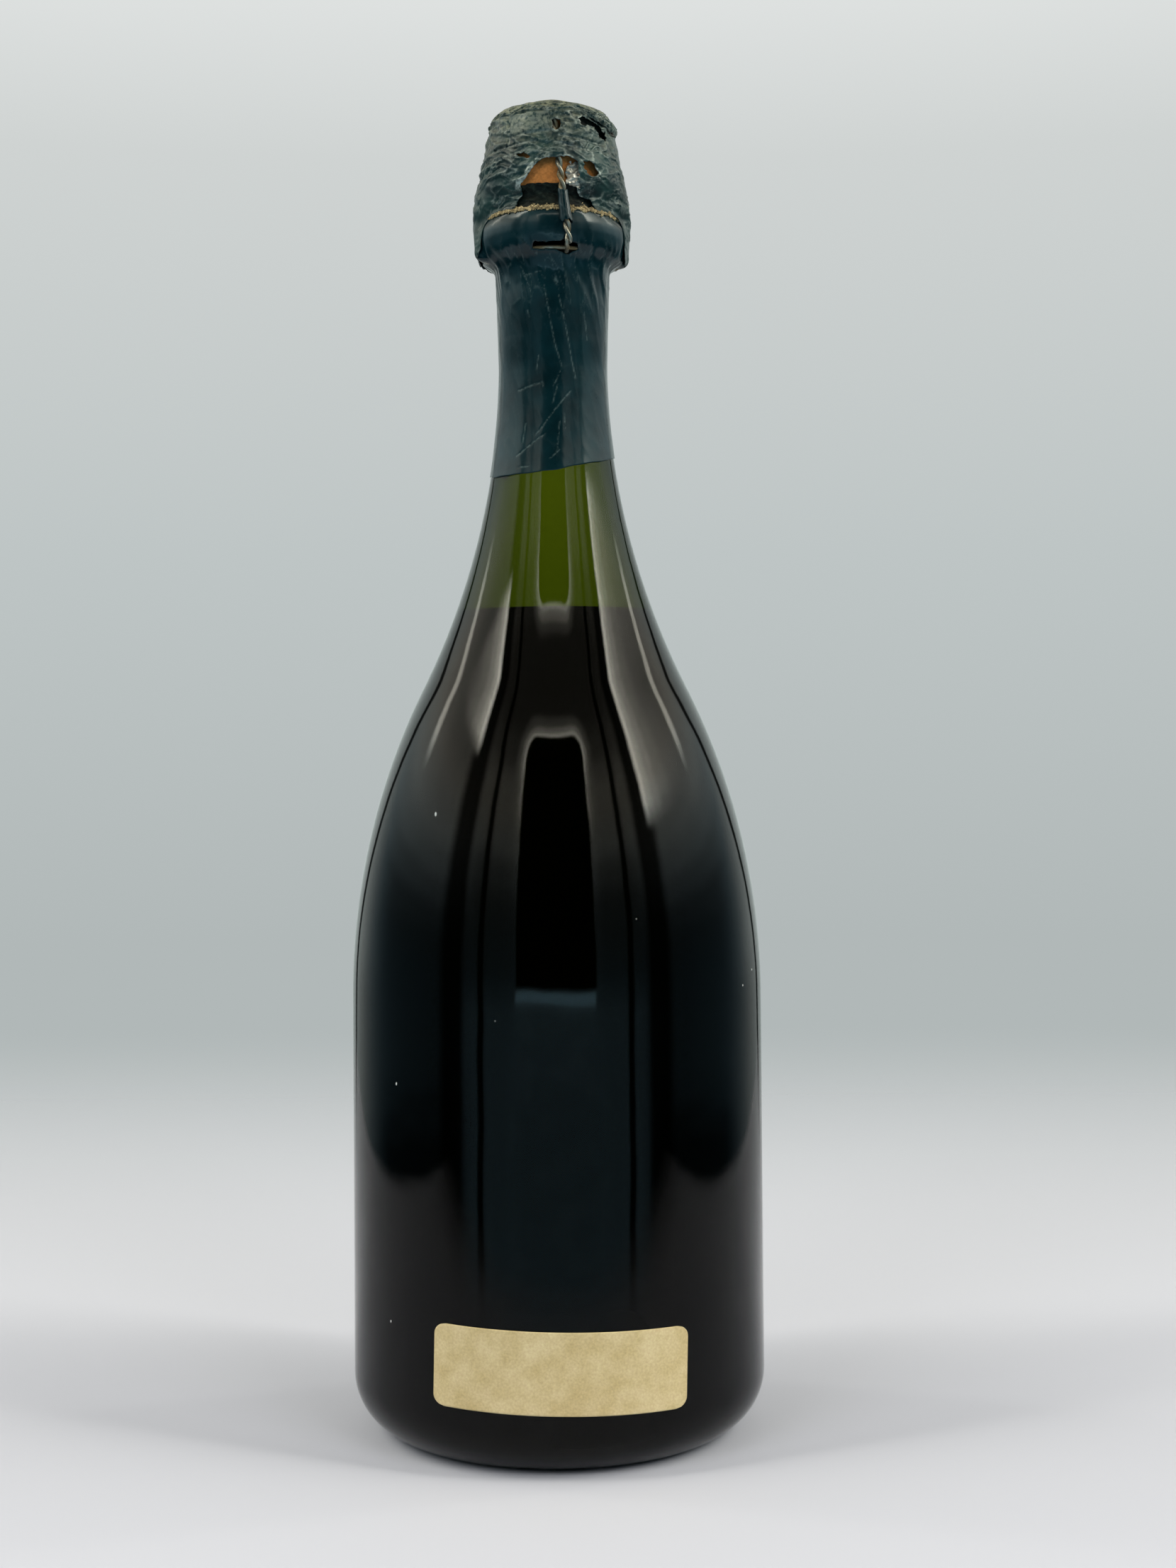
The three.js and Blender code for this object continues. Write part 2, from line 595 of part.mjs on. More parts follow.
// The sleeve hugs the neck, flares out under the belt, and its lower edge rises towards +X
function foilNeckSleeve() {
  const low = SLEEVE_TOP - SLEEVE_LENGTH;
  const flareStart = SLEEVE_TOP - SLEEVE_FLARE;
  const throat = (gap) => THROAT_RADIUS + gap;
  const face = (gap) => {
    const edge = (angle) => {
      const height = low + SLEEVE_TILT * Math.sin(angle);
      return [flankRadius(height, -gap, -gap), height];
    };
    const heights = flankHeights(low + SLEEVE_TILT, NECK_START).slice(1);
    const wrap = heights.map((height) => () => [flankRadius(height, -gap, -gap), height]);
    return [edge, ...wrap, () => [throat(gap), flareStart]];
  };
  const rim = RING_RADIUS + HOOD_EASE;
  const rows = [
    ...face(FOIL_GAP + FOIL_THICKNESS),
    () => [rim, SLEEVE_TOP - FOIL_THICKNESS],
    () => [rim, SLEEVE_TOP],
    () => [throat(FOIL_GAP) + FOIL_THICKNESS, flareStart + FOIL_THICKNESS + SLEEVE_FLARE / 2],
    ...face(FOIL_GAP).reverse(),
  ];
  return revolveRows([...rows, rows[0]], ROUND_SEGMENTS);
}

// Label

function backLabel() {
  const half = LABEL_WIDTH / 2;
  const low = -LABEL_HEIGHT / 2;
  const shape = new THREE.Shape();
  shape.moveTo(-half + LABEL_CORNER, low);
  shape.lineTo(half - LABEL_CORNER, low);
  shape.absarc(half - LABEL_CORNER, low + LABEL_CORNER, LABEL_CORNER, -QUARTER_TURN, 0);
  shape.absarc(half - LABEL_CORNER, -low - LABEL_CORNER, LABEL_CORNER, 0, QUARTER_TURN);
  shape.absarc(-half + LABEL_CORNER, -low - LABEL_CORNER, LABEL_CORNER, QUARTER_TURN, Math.PI);
  shape.absarc(-half + LABEL_CORNER, low + LABEL_CORNER, LABEL_CORNER, Math.PI, 3 * QUARTER_TURN);
  const outline = frontPrism(shape, -2 * BASE_RADIUS, 2 * BASE_RADIUS);
  outline.rotateY(-LABEL_TILT).translate(0, 0, LABEL_CENTRE);
  const reach = [LABEL_CENTRE - LABEL_HEIGHT, LABEL_CENTRE + LABEL_HEIGHT];
  const face = (gap) => reach.map((height) => [flankRadius(height, -gap, 0), height]);
  const ring = [...face(FOIL_GAP + LABEL_THICKNESS), ...face(FOIL_GAP).reverse()];
  return geometryOf(solid(revolve([...ring, ring[0]])).intersect(solid(outline)));
}

// Finishes and assembly

function finish(color, roughness, metalness = 0) {
  return new THREE.MeshStandardMaterial({ color, roughness, metalness });
}

const greenGlass = finish(0x1b2410, 0.06);
const darkWine = finish(0x2a1a0c, 0.1);
const pressedCork = finish(0xa9703c, 0.85);
const naturalCork = finish(0xb88450, 0.85);
const tinnedPlate = finish(0x8d8a80, 0.35, 0.9);
const cageWire = finish(0x7d6a52, 0.4, 0.85);
const agedFoil = finish(0x4c5348, 0.55, 0.5);
const greenFoil = finish(0x1f3432, 0.35, 0.6);
const agedPaper = finish(0xb39a72, 0.8);

const bottle = new THREE.Group();

function addPiece(name, geometry, material) {
  const piece = new THREE.Mesh(geometry, material);
  piece.name = name;
  bottle.add(piece);
}

const framePath = cageFramePath();
const beltPath = cageBeltPath();
console.log(`cage frame wire, least gap to itself: ${leastGap(framePath, FRAME_WIRE).toFixed(2)} mm`);
console.log(`cage belt wire, least gap to itself: ${leastGap(beltPath, BELT_WIRE).toFixed(2)} mm`);

addPiece('bottle_glass', bottleGlass(), greenGlass);
addPiece('wine', wine(), darkWine);
addPiece('cork_disc_lower', corkDisc(0), naturalCork);
addPiece('cork_disc_upper', corkDisc(1), naturalCork);
addPiece('cork_body', corkBody(), pressedCork);
addPiece('cap_plate', capPlate(), tinnedPlate);
addPiece('cage_frame_wire', closedWire(framePath, FRAME_WIRE / 2), cageWire);
addPiece('cage_belt_wire', closedWire(beltPath, BELT_WIRE / 2), cageWire);
addPiece('foil_hood', foilHood(), agedFoil);
addPiece('foil_neck_sleeve', foilNeckSleeve(), greenFoil);
addPiece('back_label', backLabel(), agedPaper);

export default bottle;
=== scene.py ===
# %% [markdown]
# # An old champagne bottle, seen from behind
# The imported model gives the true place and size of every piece. This lesson dresses it: dark glass with
# wine in it, a cork under a wire cage, torn foil, and a bare paper label. Each step says what the real
# thing is, how it could be made, and why it is made this way here.

# %% Load the frame
import math

import bmesh
import bpy
import numpy as np
from mathutils import Matrix, Vector, noise


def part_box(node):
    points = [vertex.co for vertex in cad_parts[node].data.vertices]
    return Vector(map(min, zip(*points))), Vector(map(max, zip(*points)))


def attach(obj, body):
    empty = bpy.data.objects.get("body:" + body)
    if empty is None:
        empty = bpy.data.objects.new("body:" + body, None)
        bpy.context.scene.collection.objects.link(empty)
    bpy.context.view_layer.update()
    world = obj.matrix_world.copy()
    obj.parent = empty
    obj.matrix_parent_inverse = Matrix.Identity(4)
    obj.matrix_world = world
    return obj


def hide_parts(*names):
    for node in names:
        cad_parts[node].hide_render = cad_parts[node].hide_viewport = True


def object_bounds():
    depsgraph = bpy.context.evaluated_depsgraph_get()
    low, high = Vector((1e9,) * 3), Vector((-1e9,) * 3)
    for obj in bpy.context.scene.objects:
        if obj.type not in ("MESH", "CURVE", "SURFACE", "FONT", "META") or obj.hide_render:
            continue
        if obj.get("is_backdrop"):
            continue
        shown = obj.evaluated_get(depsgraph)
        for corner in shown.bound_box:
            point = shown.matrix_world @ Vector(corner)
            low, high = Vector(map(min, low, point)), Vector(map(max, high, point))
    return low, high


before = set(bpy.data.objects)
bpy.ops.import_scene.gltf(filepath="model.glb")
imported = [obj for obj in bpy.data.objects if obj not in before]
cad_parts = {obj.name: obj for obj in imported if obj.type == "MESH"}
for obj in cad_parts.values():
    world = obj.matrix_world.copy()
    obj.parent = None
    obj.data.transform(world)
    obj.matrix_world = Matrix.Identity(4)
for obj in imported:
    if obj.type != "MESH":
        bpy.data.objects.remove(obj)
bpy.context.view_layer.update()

# %% [markdown]
# ## Working in millimetres
# The bottle was measured in millimetres, so every size below is one, and a mesh is turned into metres
# only when it is made. Angles go round the bottle from the front, towards +X. What the frame knows is
# read from it. The sizes that it can't give, such as the curve of the shoulder, are repeated further on.

# %% Sizes
MM = 0.001
FULL_TURN = 2 * math.pi
QUARTER = math.pi / 2


def top_of(node):
    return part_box(node)[1].z / MM


def bottom_of(node):
    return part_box(node)[0].z / MM


LIP = top_of("bottle_glass")
WINE_LEVEL = top_of("wine")
CORK_TOP = top_of("cork_body")
SLEEVE_TOP = top_of("foil_neck_sleeve")
BASE_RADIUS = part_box("bottle_glass")[1].x / MM
print(f"lip at {LIP:.1f} mm, wine up to {WINE_LEVEL:.1f} mm, cork up to {CORK_TOP:.1f} mm")

# %% [markdown]
# ## Small tools
# A turned form is a profile carried round the axis. A sheet of foil is the same grid, pushed in and out
# by noise, so one function makes a mesh from rows of points. Another adds one node to a material with
# its settings and links, which keeps the materials short enough to read.


# %% Helpers for points
def spot(radius, angle, height):
    return (radius * math.sin(angle), -radius * math.cos(angle), height)


def arc(centre, size, start, end, steps):
    turns = np.linspace(start, end, steps + 1)
    return [(centre[0] + size * math.cos(t), centre[1] + size * math.sin(t)) for t in turns]


def turned(profile, segments):
    angles = np.linspace(0, FULL_TURN, segments, endpoint=False)
    return [[spot(radius, angle, height) for angle in angles] for radius, height in profile]


def wave(x, y, z):
    """Smooth noise at a place, between -1 and 1."""
    return noise.noise(Vector((x, y, z)))


# %% Helpers for meshes
TORN_EDGE_PASSES = 3
SAME_PLACE = 1e-7
SHARP_EDGE = math.radians(60)


def grid_faces(rows, columns, wrap):
    faces = []
    for row in range(rows - 1):
        for column in range(columns if wrap else columns - 1):
            beside = (column + 1) % columns
            low, high = row * columns, (row + 1) * columns
            faces.append((low + column, low + beside, high + beside, high + column))
    return faces


def new_mesh(name, points, faces, finish):
    mesh = bpy.data.meshes.new(name)
    mesh.from_pydata([Vector(point) * MM for point in points], [], faces)
    mesh.materials.append(finish)
    return mesh


def set_down(name, data):
    """A new object in the scene."""
    made = bpy.data.objects.new(name, data)
    bpy.context.collection.objects.link(made)
    return made


def soften_edges(shape):
    """Draws each point of an open edge half way to the middle of its neighbours along that edge."""
    moved = {}
    for point in shape.verts:
        beside = [edge.other_vert(point).co for edge in point.link_edges if edge.is_boundary]
        if len(beside) == 2:
            moved[point] = point.co.lerp((beside[0] + beside[1]) / 2, 0.5)
    for point, place in moved.items():
        point.co = place


def make_piece(name, rows, finish, body, slot, nodes=(), wrap=True, keep=None, painted=False, thickness=0):
    """A mesh from rows of points in millimetres, riding on a body. keep drops faces by their middle.

    The points of a painted piece come with their wear, and their dust, which on the hood also paints light. A
    thickness makes a sheet solid, inwards."""
    points = [point for row in rows for point in row]
    layers = {}
    if painted:
        points, layers["wear"], layers["dust_and_painted_light"] = zip(*points)
    mesh = new_mesh(name, points, grid_faces(len(rows), len(rows[0]), wrap), finish)
    for layer, values in layers.items():
        mesh.attributes.new(layer, "FLOAT", "POINT").data.foreach_set("value", values)
    shape = bmesh.new()
    shape.from_mesh(mesh)
    if keep:
        lost = [face for face in shape.faces if not keep(face.calc_center_median() / MM)]
        bmesh.ops.delete(shape, geom=lost, context="FACES")
    bmesh.ops.remove_doubles(shape, verts=shape.verts, dist=SAME_PLACE)
    for softer in range(TORN_EDGE_PASSES if keep else 0):
        soften_edges(shape)
    bmesh.ops.recalc_face_normals(shape, faces=shape.faces)
    shape.to_mesh(mesh)
    shape.free()
    mesh.shade_smooth()
    mesh.set_sharp_from_angle(angle=SHARP_EDGE)
    made = set_down(name, mesh)
    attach(made, body)
    if nodes:
        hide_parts(*nodes)
    if thickness:
        sheet = made.modifiers.new("foil", "SOLIDIFY")
        sheet.thickness = thickness * MM
        sheet.offset = -1
    print(f"{name}: {len(mesh.polygons)} faces")


# %% Helpers for materials
def linear(hex_colour):
    """An sRGB hex colour as the linear RGBA that a socket takes."""
    parts = [int(hex_colour[i : i + 2], 16) / 255 for i in (1, 3, 5)]
    return (*[p / 12.92 if p <= 0.04045 else ((p + 0.055) / 1.055) ** 2.4 for p in parts], 1)


def new_finish(name):
    finish = bpy.data.materials.new(name)
    finish.use_nodes = True
    return finish, finish.node_tree, finish.node_tree.nodes["Principled BSDF"]


def plug(tree, node, sockets):
    """Fills inputs by name: a node's first output or a socket is linked, the rest are constants."""
    for name, value in sockets.items():
        if isinstance(value, bpy.types.Node):
            value = next(output for output in value.outputs if output.enabled)
        if isinstance(value, bpy.types.NodeSocket):
            tree.links.new(value, node.inputs[name])
        else:
            node.inputs[name].default_value = value


def add(tree, kind, sockets=None, **settings):
    """One node: settings are its own values, and sockets are what goes into it."""
    node = tree.nodes.new("ShaderNode" + kind)
    for name, value in settings.items():
        setattr(node, name, value)
    plug(tree, node, sockets or {})
    return node


def per_metre(size):
    """How often a pattern of that size in millimetres repeats in a metre."""
    return 1 / (size * MM)


def blotched(tree, size, detail, spread, first, second):
    """Two colours in blotches of a size: the noise, its share of the second colour, and the mixed tone."""
    place = add(tree, "TexCoord").outputs["Object"]
    cloud = add(tree, "TexNoise", {"Vector": place, "Scale": per_metre(size), "Detail": detail})
    share = add(tree, "MapRange", {"Value": cloud, "From Min": spread[0], "From Max": spread[1]})
    colours = {"A": linear(first), "B": linear(second)}
    return cloud, share, add(tree, "Mix", {"Factor": share, **colours}, data_type="RGBA")


# %% [markdown]
# ## Camera
# The picture was taken level with the middle of the bottle, from about half a metre, with the camera
# rolled by a third of a degree. A 50 mm lens on a 36 mm frame gives the same spread of the lines.

# %% Camera
CAMERA_PLACE = Vector((7.4, -501, 146.5)) * MM
CAMERA_ROLL = math.radians(-0.39)
LENS, FRAME_WIDTH, NEAREST = 50, 36, 10
photo_camera = set_down("photo_camera", bpy.data.cameras.new("photo_camera"))
photo_camera.data.lens = LENS
photo_camera.data.sensor_width = FRAME_WIDTH
photo_camera.data.clip_start = NEAREST * MM
upright = Matrix.Rotation(QUARTER, 4, "X") @ Matrix.Rotation(CAMERA_ROLL, 4, "Z")
photo_camera.matrix_world = Matrix.Translation(CAMERA_PLACE) @ upright
bpy.context.scene.camera = photo_camera
bpy.context.scene.view_settings.view_transform = "Standard"
print("camera at", [round(value / MM) for value in CAMERA_PLACE], "mm")

# %% [markdown]
# ## Studio
# The bottle stood in a light tent: pale walls behind it and at its sides, an opening in front, light from
# above. Dark glass is drawn by what it mirrors, so the surroundings matter as much as the lamps. They could
# be modelled as walls, but a world that changes with direction is easier to match: each wall, seam and
# strip of light is a curve over the angle up from the horizon or round from the front.

# %% Surroundings, directions
# How far up from the horizon, and how far round from the front, in radians
world = bpy.data.worlds.new("light_tent")
bpy.context.scene.world = world
world.use_nodes = True
tent = world.node_tree
tent.nodes.clear()
direction = add(tent, "SeparateXYZ", {"Vector": add(tent, "TexCoord").outputs["Generated"]})
beside = add(tent, "Math", {0: direction.outputs["X"]}, operation="ABSOLUTE")
ahead = add(tent, "Math", {0: direction.outputs["Y"], 1: -1}, operation="MULTIPLY")
around = add(tent, "Math", {0: beside, 1: ahead}, operation="ARCTAN2")
upward = add(tent, "Math", {0: direction.outputs["Z"]}, operation="ARCSINE")
print("directions:", upward.name, around.name)

# %% Surroundings, tables
# Brightness by degrees up from the horizon
BY_RISE = {
    "front_wall": [
        (-20, 0.7), (-6, 0.7), (-3, 0.5), (1, 0.32), (8, 0.28), (13, 0.3), (18, 0.6), (24, 1.4), (33, 1.5),
        (41, 0.6), (48, 0.3), (66, 0.2),
    ],
    "side_wall": [
        (-13, 0.02), (-9.5, 0.05), (-7, 0.26), (4, 0.24), (8, 0.34), (12, 0.75), (16, 1.4), (21, 2.1),
        (27, 2.1), (34, 1.6), (40, 1), (52, 0.5), (66, 0.2),
    ],
    "back_wall": [(-8, 0.5), (0, 0.8), (20, 0.92), (48, 0.55), (66, 0.2)],
    "sill": [(-8, 0.7), (-5.5, 0.9), (-3.8, 3), (-2.8, 2.4), (-1.8, 0)],
    "rim_fade": [(8, 0.01), (24, 0.07), (33, 0.35), (41, 1)],
    "strip_height": [(29, 0), (34, 1), (56, 1), (66, 0)],
    "thin_height": [(22, 0), (28, 1), (48, 1), (60, 0)],
}
# Where each part begins, by degrees round from the front, and the dark seams and panels between
BY_SWING = {
    "side_wall": [(44, 0), (62, 1)],
    "back_wall": [(104, 0), (142, 1)],
    "inner_seam": [(39.4, 1), (40.8, 0.05), (43, 0.05), (44.4, 1)],
    "dark_panel": [(50, 1), (55, 0.1), (63, 0.1), (70, 1)],
    "outer_seam": [(146.5, 1), (148.3, 0.06), (150.3, 0.06), (152, 1)],
    "strip_width": [(60.5, 0), (64, 1), (66.5, 0.6), (72, 0.32), (80, 0.15), (92, 0.05), (104, 0)],
    "thin_width": [(105, 0), (108, 1), (110, 1), (113, 0)],
}
# The opening in front is a tall arch with a bright rim: degrees outside its edge give both
BY_EDGE = {"beyond": [(-0.7, 0), (0.7, 1)], "rim": [(-0.4, 0), (1, 1), (2.4, 0.45), (5, 0.12), (9, 0)]}
ARCH_HALF, ARCH_TOP, ARCH_ROUND, ARCH_FLATTEN = 22.2, 44.8, 8.5, 1.8
print("tables:", len(BY_RISE), len(BY_SWING), len(BY_EDGE))

# %% Surroundings, tent walls
# The strips hang lower on the right, and the outer seams lean
STRIP_LEAN, SEAM_LEAN = 0.135, 0.7
leaning = {}
for part, across, lean, angle in (
    ("strip_height", direction.outputs["X"], STRIP_LEAN, upward),
    ("outer_seam", upward, SEAM_LEAN, around),
):
    leaning[part] = add(tent, "Math", {0: across, 1: lean, 2: angle}, operation="MULTIPLY_ADD")
past = []
for angle, limit, stretch in ((around, ARCH_HALF, 1), (upward, ARCH_TOP, ARCH_FLATTEN)):
    inner = math.radians(limit - ARCH_ROUND / stretch)
    over = add(tent, "Math", {0: angle, 1: inner}, operation="SUBTRACT")
    outer = add(tent, "Math", {0: over, 1: 0.0}, operation="MAXIMUM")
    past.append(add(tent, "Math", {0: outer, 1: stretch}, operation="MULTIPLY"))
corner = add(tent, "CombineXYZ", {"X": past[0], "Y": past[1]})
from_arch = add(tent, "VectorMath", {0: corner}, operation="LENGTH")


def fill_band(ramp, low, high, stops):
    """Sets the stops of a ramp that runs from low to high, in degrees."""
    band = ramp.color_ramp.elements
    band.remove(band[1])
    for index, (degrees, colour) in enumerate(stops):
        position = (degrees - low) / (high - low)
        stop = band[0] if index == 0 else band.new(position)
        stop.position, stop.color = position, colour


rises, swings, edges = {}, {}, {}
for table, ramps, angle, low, high, start in (
    (BY_RISE, rises, upward, -90, 90, 0),
    (BY_SWING, swings, around, 0, 180, 0),
    (BY_EDGE, edges, from_arch, -20, 60, ARCH_ROUND),
):
    reach = {"From Min": math.radians(low + start), "From Max": math.radians(high + start)}
    for part, stops in table.items():
        share = add(tent, "MapRange", {"Value": leaning.get(part, angle), **reach})
        ramps[part] = add(tent, "ValToRGB", {"Fac": share})
        ramps[part].color_ramp.interpolation = "EASE"
        fill_band(ramps[part], low, high, [(degrees, (grey, grey, grey, 1)) for degrees, grey in stops])
print("tent ramps:", len(rises) + len(swings) + len(edges))

# %% Surroundings, light
# Soft strips of light at the upper sides draw the streaks on the shoulder, each with a thin one behind
STRIP, THIN_STRIP, ARCH_RIM = 22, 6, 9
walls = rises["front_wall"]
for part in ("side_wall", "back_wall"):
    walls = add(tent, "Mix", {"Factor": swings[part], "A": walls, "B": rises[part]}, data_type="RGBA")
outside = add(tent, "Math", {0: 1.0, 1: edges["beyond"]}, operation="SUBTRACT")
for operation, factors in (
    ("MULTIPLY", [swings["inner_seam"]]),
    ("MULTIPLY", [swings["dark_panel"]]),
    ("MULTIPLY", [swings["outer_seam"]]),
    ("MULTIPLY", [edges["beyond"]]),
    ("ADD", [rises["strip_height"], swings["strip_width"], STRIP]),
    ("ADD", [rises["thin_height"], swings["thin_width"], THIN_STRIP]),
    ("ADD", [edges["rim"], rises["rim_fade"], ARCH_RIM]),
    ("ADD", [outside, rises["sill"]]),
):
    level = factors[0]
    for factor in factors[1:]:
        level = add(tent, "Math", {0: level, 1: factor}, operation="MULTIPLY")
    walls = add(tent, "Math", {0: walls, 1: level}, operation=operation)
# The light is cool low down at the front and sides, and warmer above and behind
WARM_RISE, BACK_WARMTH = math.radians(30), 0.62
higher = add(tent, "MapRange", {"Value": upward, "From Max": WARM_RISE})
behind = add(tent, "Math", {0: swings["back_wall"], 1: BACK_WARMTH}, operation="MULTIPLY")
warm = add(tent, "Math", {0: higher, 1: behind}, operation="MAXIMUM")
cool_to_warm = {"A": linear("#b8e8fb"), "B": linear("#fffbea")}
tint = add(tent, "Mix", {"Factor": warm, **cool_to_warm}, data_type="RGBA")
tent_light = add(tent, "Background", {"Color": tint, "Strength": walls})
print("strips of light:", STRIP, THIN_STRIP)

# %% Surroundings, backdrop
# The camera, and light that passes through the glass, meet a plain backdrop: its colour by degrees up
BACKDROP = [(-4, "#b1b8b8"), (6, "#bec5c5"), (16, "#cfd3d2"), (20, "#dfe2e1")]
low, high = BACKDROP[0][0], BACKDROP[-1][0]
reach = {"From Min": math.radians(low), "From Max": math.radians(high)}
backdrop = add(tent, "ValToRGB", {"Fac": add(tent, "MapRange", {"Value": upward, **reach})})
fill_band(backdrop, low, high, [(degrees, linear(colour)) for degrees, colour in BACKDROP])
backdrop_light = add(tent, "Background", {"Color": backdrop, "Strength": 1.0})
rays = add(tent, "LightPath").outputs
straight = add(
    tent, "Math", {0: rays["Is Camera Ray"], 1: rays["Is Transmission Ray"]}, operation="MAXIMUM"
)
seen = add(tent, "MixShader", {0: straight, 1: tent_light, 2: backdrop_light})
add(tent, "OutputWorld", {"Surface": seen})
print("world:", world.name)

# %% Lamps
# Weak soft lamps that nothing mirrors: they only lift the foil and the label. Place, size and watts
BOTTLE_MIDDLE = Vector((0, 0, 150))
LAMPS = {
    "overhead_lamp": ((0, 80, 900), (600, 500), 0.25),
    "front_fill_-1": ((-420, -620, 520), (300, 300), 1.2),
    "front_fill_1": ((420, -620, 520), (300, 300), 1.2),
}
for name, (place, (width, length), watts) in LAMPS.items():
    light = bpy.data.lights.new(name, "AREA")
    light.shape = "RECTANGLE"
    light.size, light.size_y, light.energy = width * MM, length * MM, watts
    lamp = set_down(name, light)
    lamp.location = Vector(place) * MM
    lamp.rotation_euler = (BOTTLE_MIDDLE - Vector(place)).to_track_quat("-Z", "Y").to_euler()
    lamp.visible_glossy = lamp.visible_transmission = False
print("lamps:", len(bpy.data.lights))

# %% Floor
# Matte pale paper that runs back and fades into the backdrop: where each fade starts and ends
FADE_BACK, FADE_ASIDE, FADE_AHEAD = (60, 830), (340, 400), (110, 260)
FLOOR_RINGS, FLOOR_SEGMENTS = (0, 200, 400, 600, 900), 96
pale_paper, tree, shader = new_finish("pale_paper")
plug(tree, shader, {"Base Color": linear("#c3c5d2"), "Roughness": 0.75, "Specular IOR Level": 0.15})
place = add(tree, "SeparateXYZ", {"Vector": add(tree, "TexCoord").outputs["Object"]})
aside = add(tree, "Math", {0: place.outputs["X"]}, operation="ABSOLUTE")
forward = add(tree, "Math", {0: place.outputs["Y"], 1: -1}, operation="MULTIPLY")
gone = 0.0
for way, (start, end) in ((place.outputs["Y"], FADE_BACK), (aside, FADE_ASIDE), (forward, FADE_AHEAD)):
    reach = {"From Min": start * MM, "From Max": end * MM}
    faded = add(tree, "MapRange", {"Value": way, **reach}, interpolation_type="SMOOTHSTEP")
    gone = add(tree, "Math", {0: gone, 1: faded}, operation="MAXIMUM")
sheet = add(tree, "MixShader", {0: gone, 1: shader, 2: add(tree, "BsdfTransparent")})
plug(tree, tree.nodes["Material Output"], {"Surface": sheet})
angles = np.linspace(0, FULL_TURN, FLOOR_SEGMENTS + 1)
floor_points = [spot(radius, angle, 0) for radius in FLOOR_RINGS for angle in angles]
floor_mesh = new_mesh("floor", floor_points, grid_faces(len(FLOOR_RINGS), len(angles), False), pale_paper)
floor = set_down("floor", floor_mesh)
floor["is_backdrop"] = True
print("floor:", len(floor_mesh.polygons), "faces")

# %% [markdown]
# ## Bottle glass
# Champagne glass is thick, dark olive green and a little uneven. Its outline is two arcs that meet with
# no corner: the shoulder and the neck. The profile runs from the top of the punt, over the foot and up the
# outside to the lip, then down the inside, so the wall has its true thickness and the colour comes from
# absorption inside the glass, as it does in life.

# %% Bottle glass, flanks
BODY_RADIUS, BODY_HEIGHT, BODY_WALL = 46.7, 99, 4
HEEL_RADIUS, HEEL_ROUND = 9, 13.6
SHOULDER_HEIGHT, SHOULDER_ARC = 146, 155
NECK_RADIUS, NECK_START, BORE_RADIUS = 12.2, 245, 9
NECK_WALL = NECK_RADIUS - BORE_RADIUS
FLANK_STEPS = 90


def flank_radius(height, body_inset, neck_inset):
    body, neck = BODY_RADIUS - body_inset, NECK_RADIUS - neck_inset
    shoulder_arc = SHOULDER_ARC - body_inset
    both_arcs = ((body - neck) ** 2 + SHOULDER_HEIGHT**2) / (2 * (body - neck))
    neck_arc = both_arcs - shoulder_arc
    meeting = BODY_HEIGHT + SHOULDER_HEIGHT * shoulder_arc / both_arcs
    if height <= BODY_HEIGHT:
        share = max(0, (height - HEEL_RADIUS) / (BODY_HEIGHT - HEEL_RADIUS))
        return BASE_RADIUS - body_inset + share * (BODY_RADIUS - BASE_RADIUS)
    if height <= meeting:
        return body - shoulder_arc + math.sqrt(shoulder_arc**2 - (height - BODY_HEIGHT) ** 2)
    if height <= NECK_START:
        return neck + neck_arc - math.sqrt(neck_arc**2 - (NECK_START - height) ** 2)
    return neck


def flank(low, high, body_inset, neck_inset):
    heights = np.linspace(low, high, FLANK_STEPS)
    return [(flank_radius(height, body_inset, neck_inset), height) for height in heights]


print(f"waist of the shoulder: {flank_radius(NECK_START - SHOULDER_HEIGHT / 2, 0, 0):.1f} mm")

# %% Bottle glass, profile
PUNT_RADIUS, PUNT_DEPTH = 32, 30
FOOT_WALL, FOOT_THICKNESS, BASE_THICKNESS = 5, 5, 6
THROAT_RADIUS, MOUTH_ROUND = 12.6, 0.8
RING_RADIUS, RING_BOTTOM = 16, LIP - 8.5
RING_TOP_ROUND, RING_LOW_ROUND, RING_UNDERCUT = 3.4, 1.2, 0.6
GROOVE_TOP = FOOT_THICKNESS + HEEL_RADIUS


def inner_base(gap):
    wall = BASE_RADIUS - BODY_WALL - gap
    mound = PUNT_RADIUS + FOOT_WALL + gap
    groove = (wall - mound) / 2
    low = FOOT_THICKNESS + gap + groove
    rise = PUNT_DEPTH + BASE_THICKNESS + gap - low
    dome = [(across * mound, low + up * rise) for across, up in arc((0, 0), 1, 0, QUARTER, 24)]
    return arc((mound + groove, low), groove, 0, -math.pi, 10) + dome[1:-1] + [(0, low + rise)]


punt = [(across * PUNT_RADIUS, up * PUNT_DEPTH) for across, up in arc((0, 0), 1, QUARTER, 0, 24)]
glass_profile = [
    (0, PUNT_DEPTH),
    *punt[1:],
    *arc((BASE_RADIUS - HEEL_ROUND, HEEL_ROUND), HEEL_ROUND, -QUARTER, 0, 20),
    *flank(HEEL_ROUND, NECK_START, 0, 0)[1:],
    (THROAT_RADIUS, RING_BOTTOM - RING_UNDERCUT),
    *arc((RING_RADIUS - RING_LOW_ROUND, RING_BOTTOM + RING_LOW_ROUND), RING_LOW_ROUND, -QUARTER, 0, 8),
    *arc((RING_RADIUS - RING_TOP_ROUND, LIP - RING_TOP_ROUND), RING_TOP_ROUND, 0, QUARTER, 12),
    *arc((BORE_RADIUS + MOUTH_ROUND, LIP - MOUTH_ROUND), MOUTH_ROUND, QUARTER, math.pi, 6),
    *flank(GROOVE_TOP, NECK_START, BODY_WALL, NECK_WALL)[::-1],
    *inner_base(0),
]
print("glass profile:", len(glass_profile), "points")

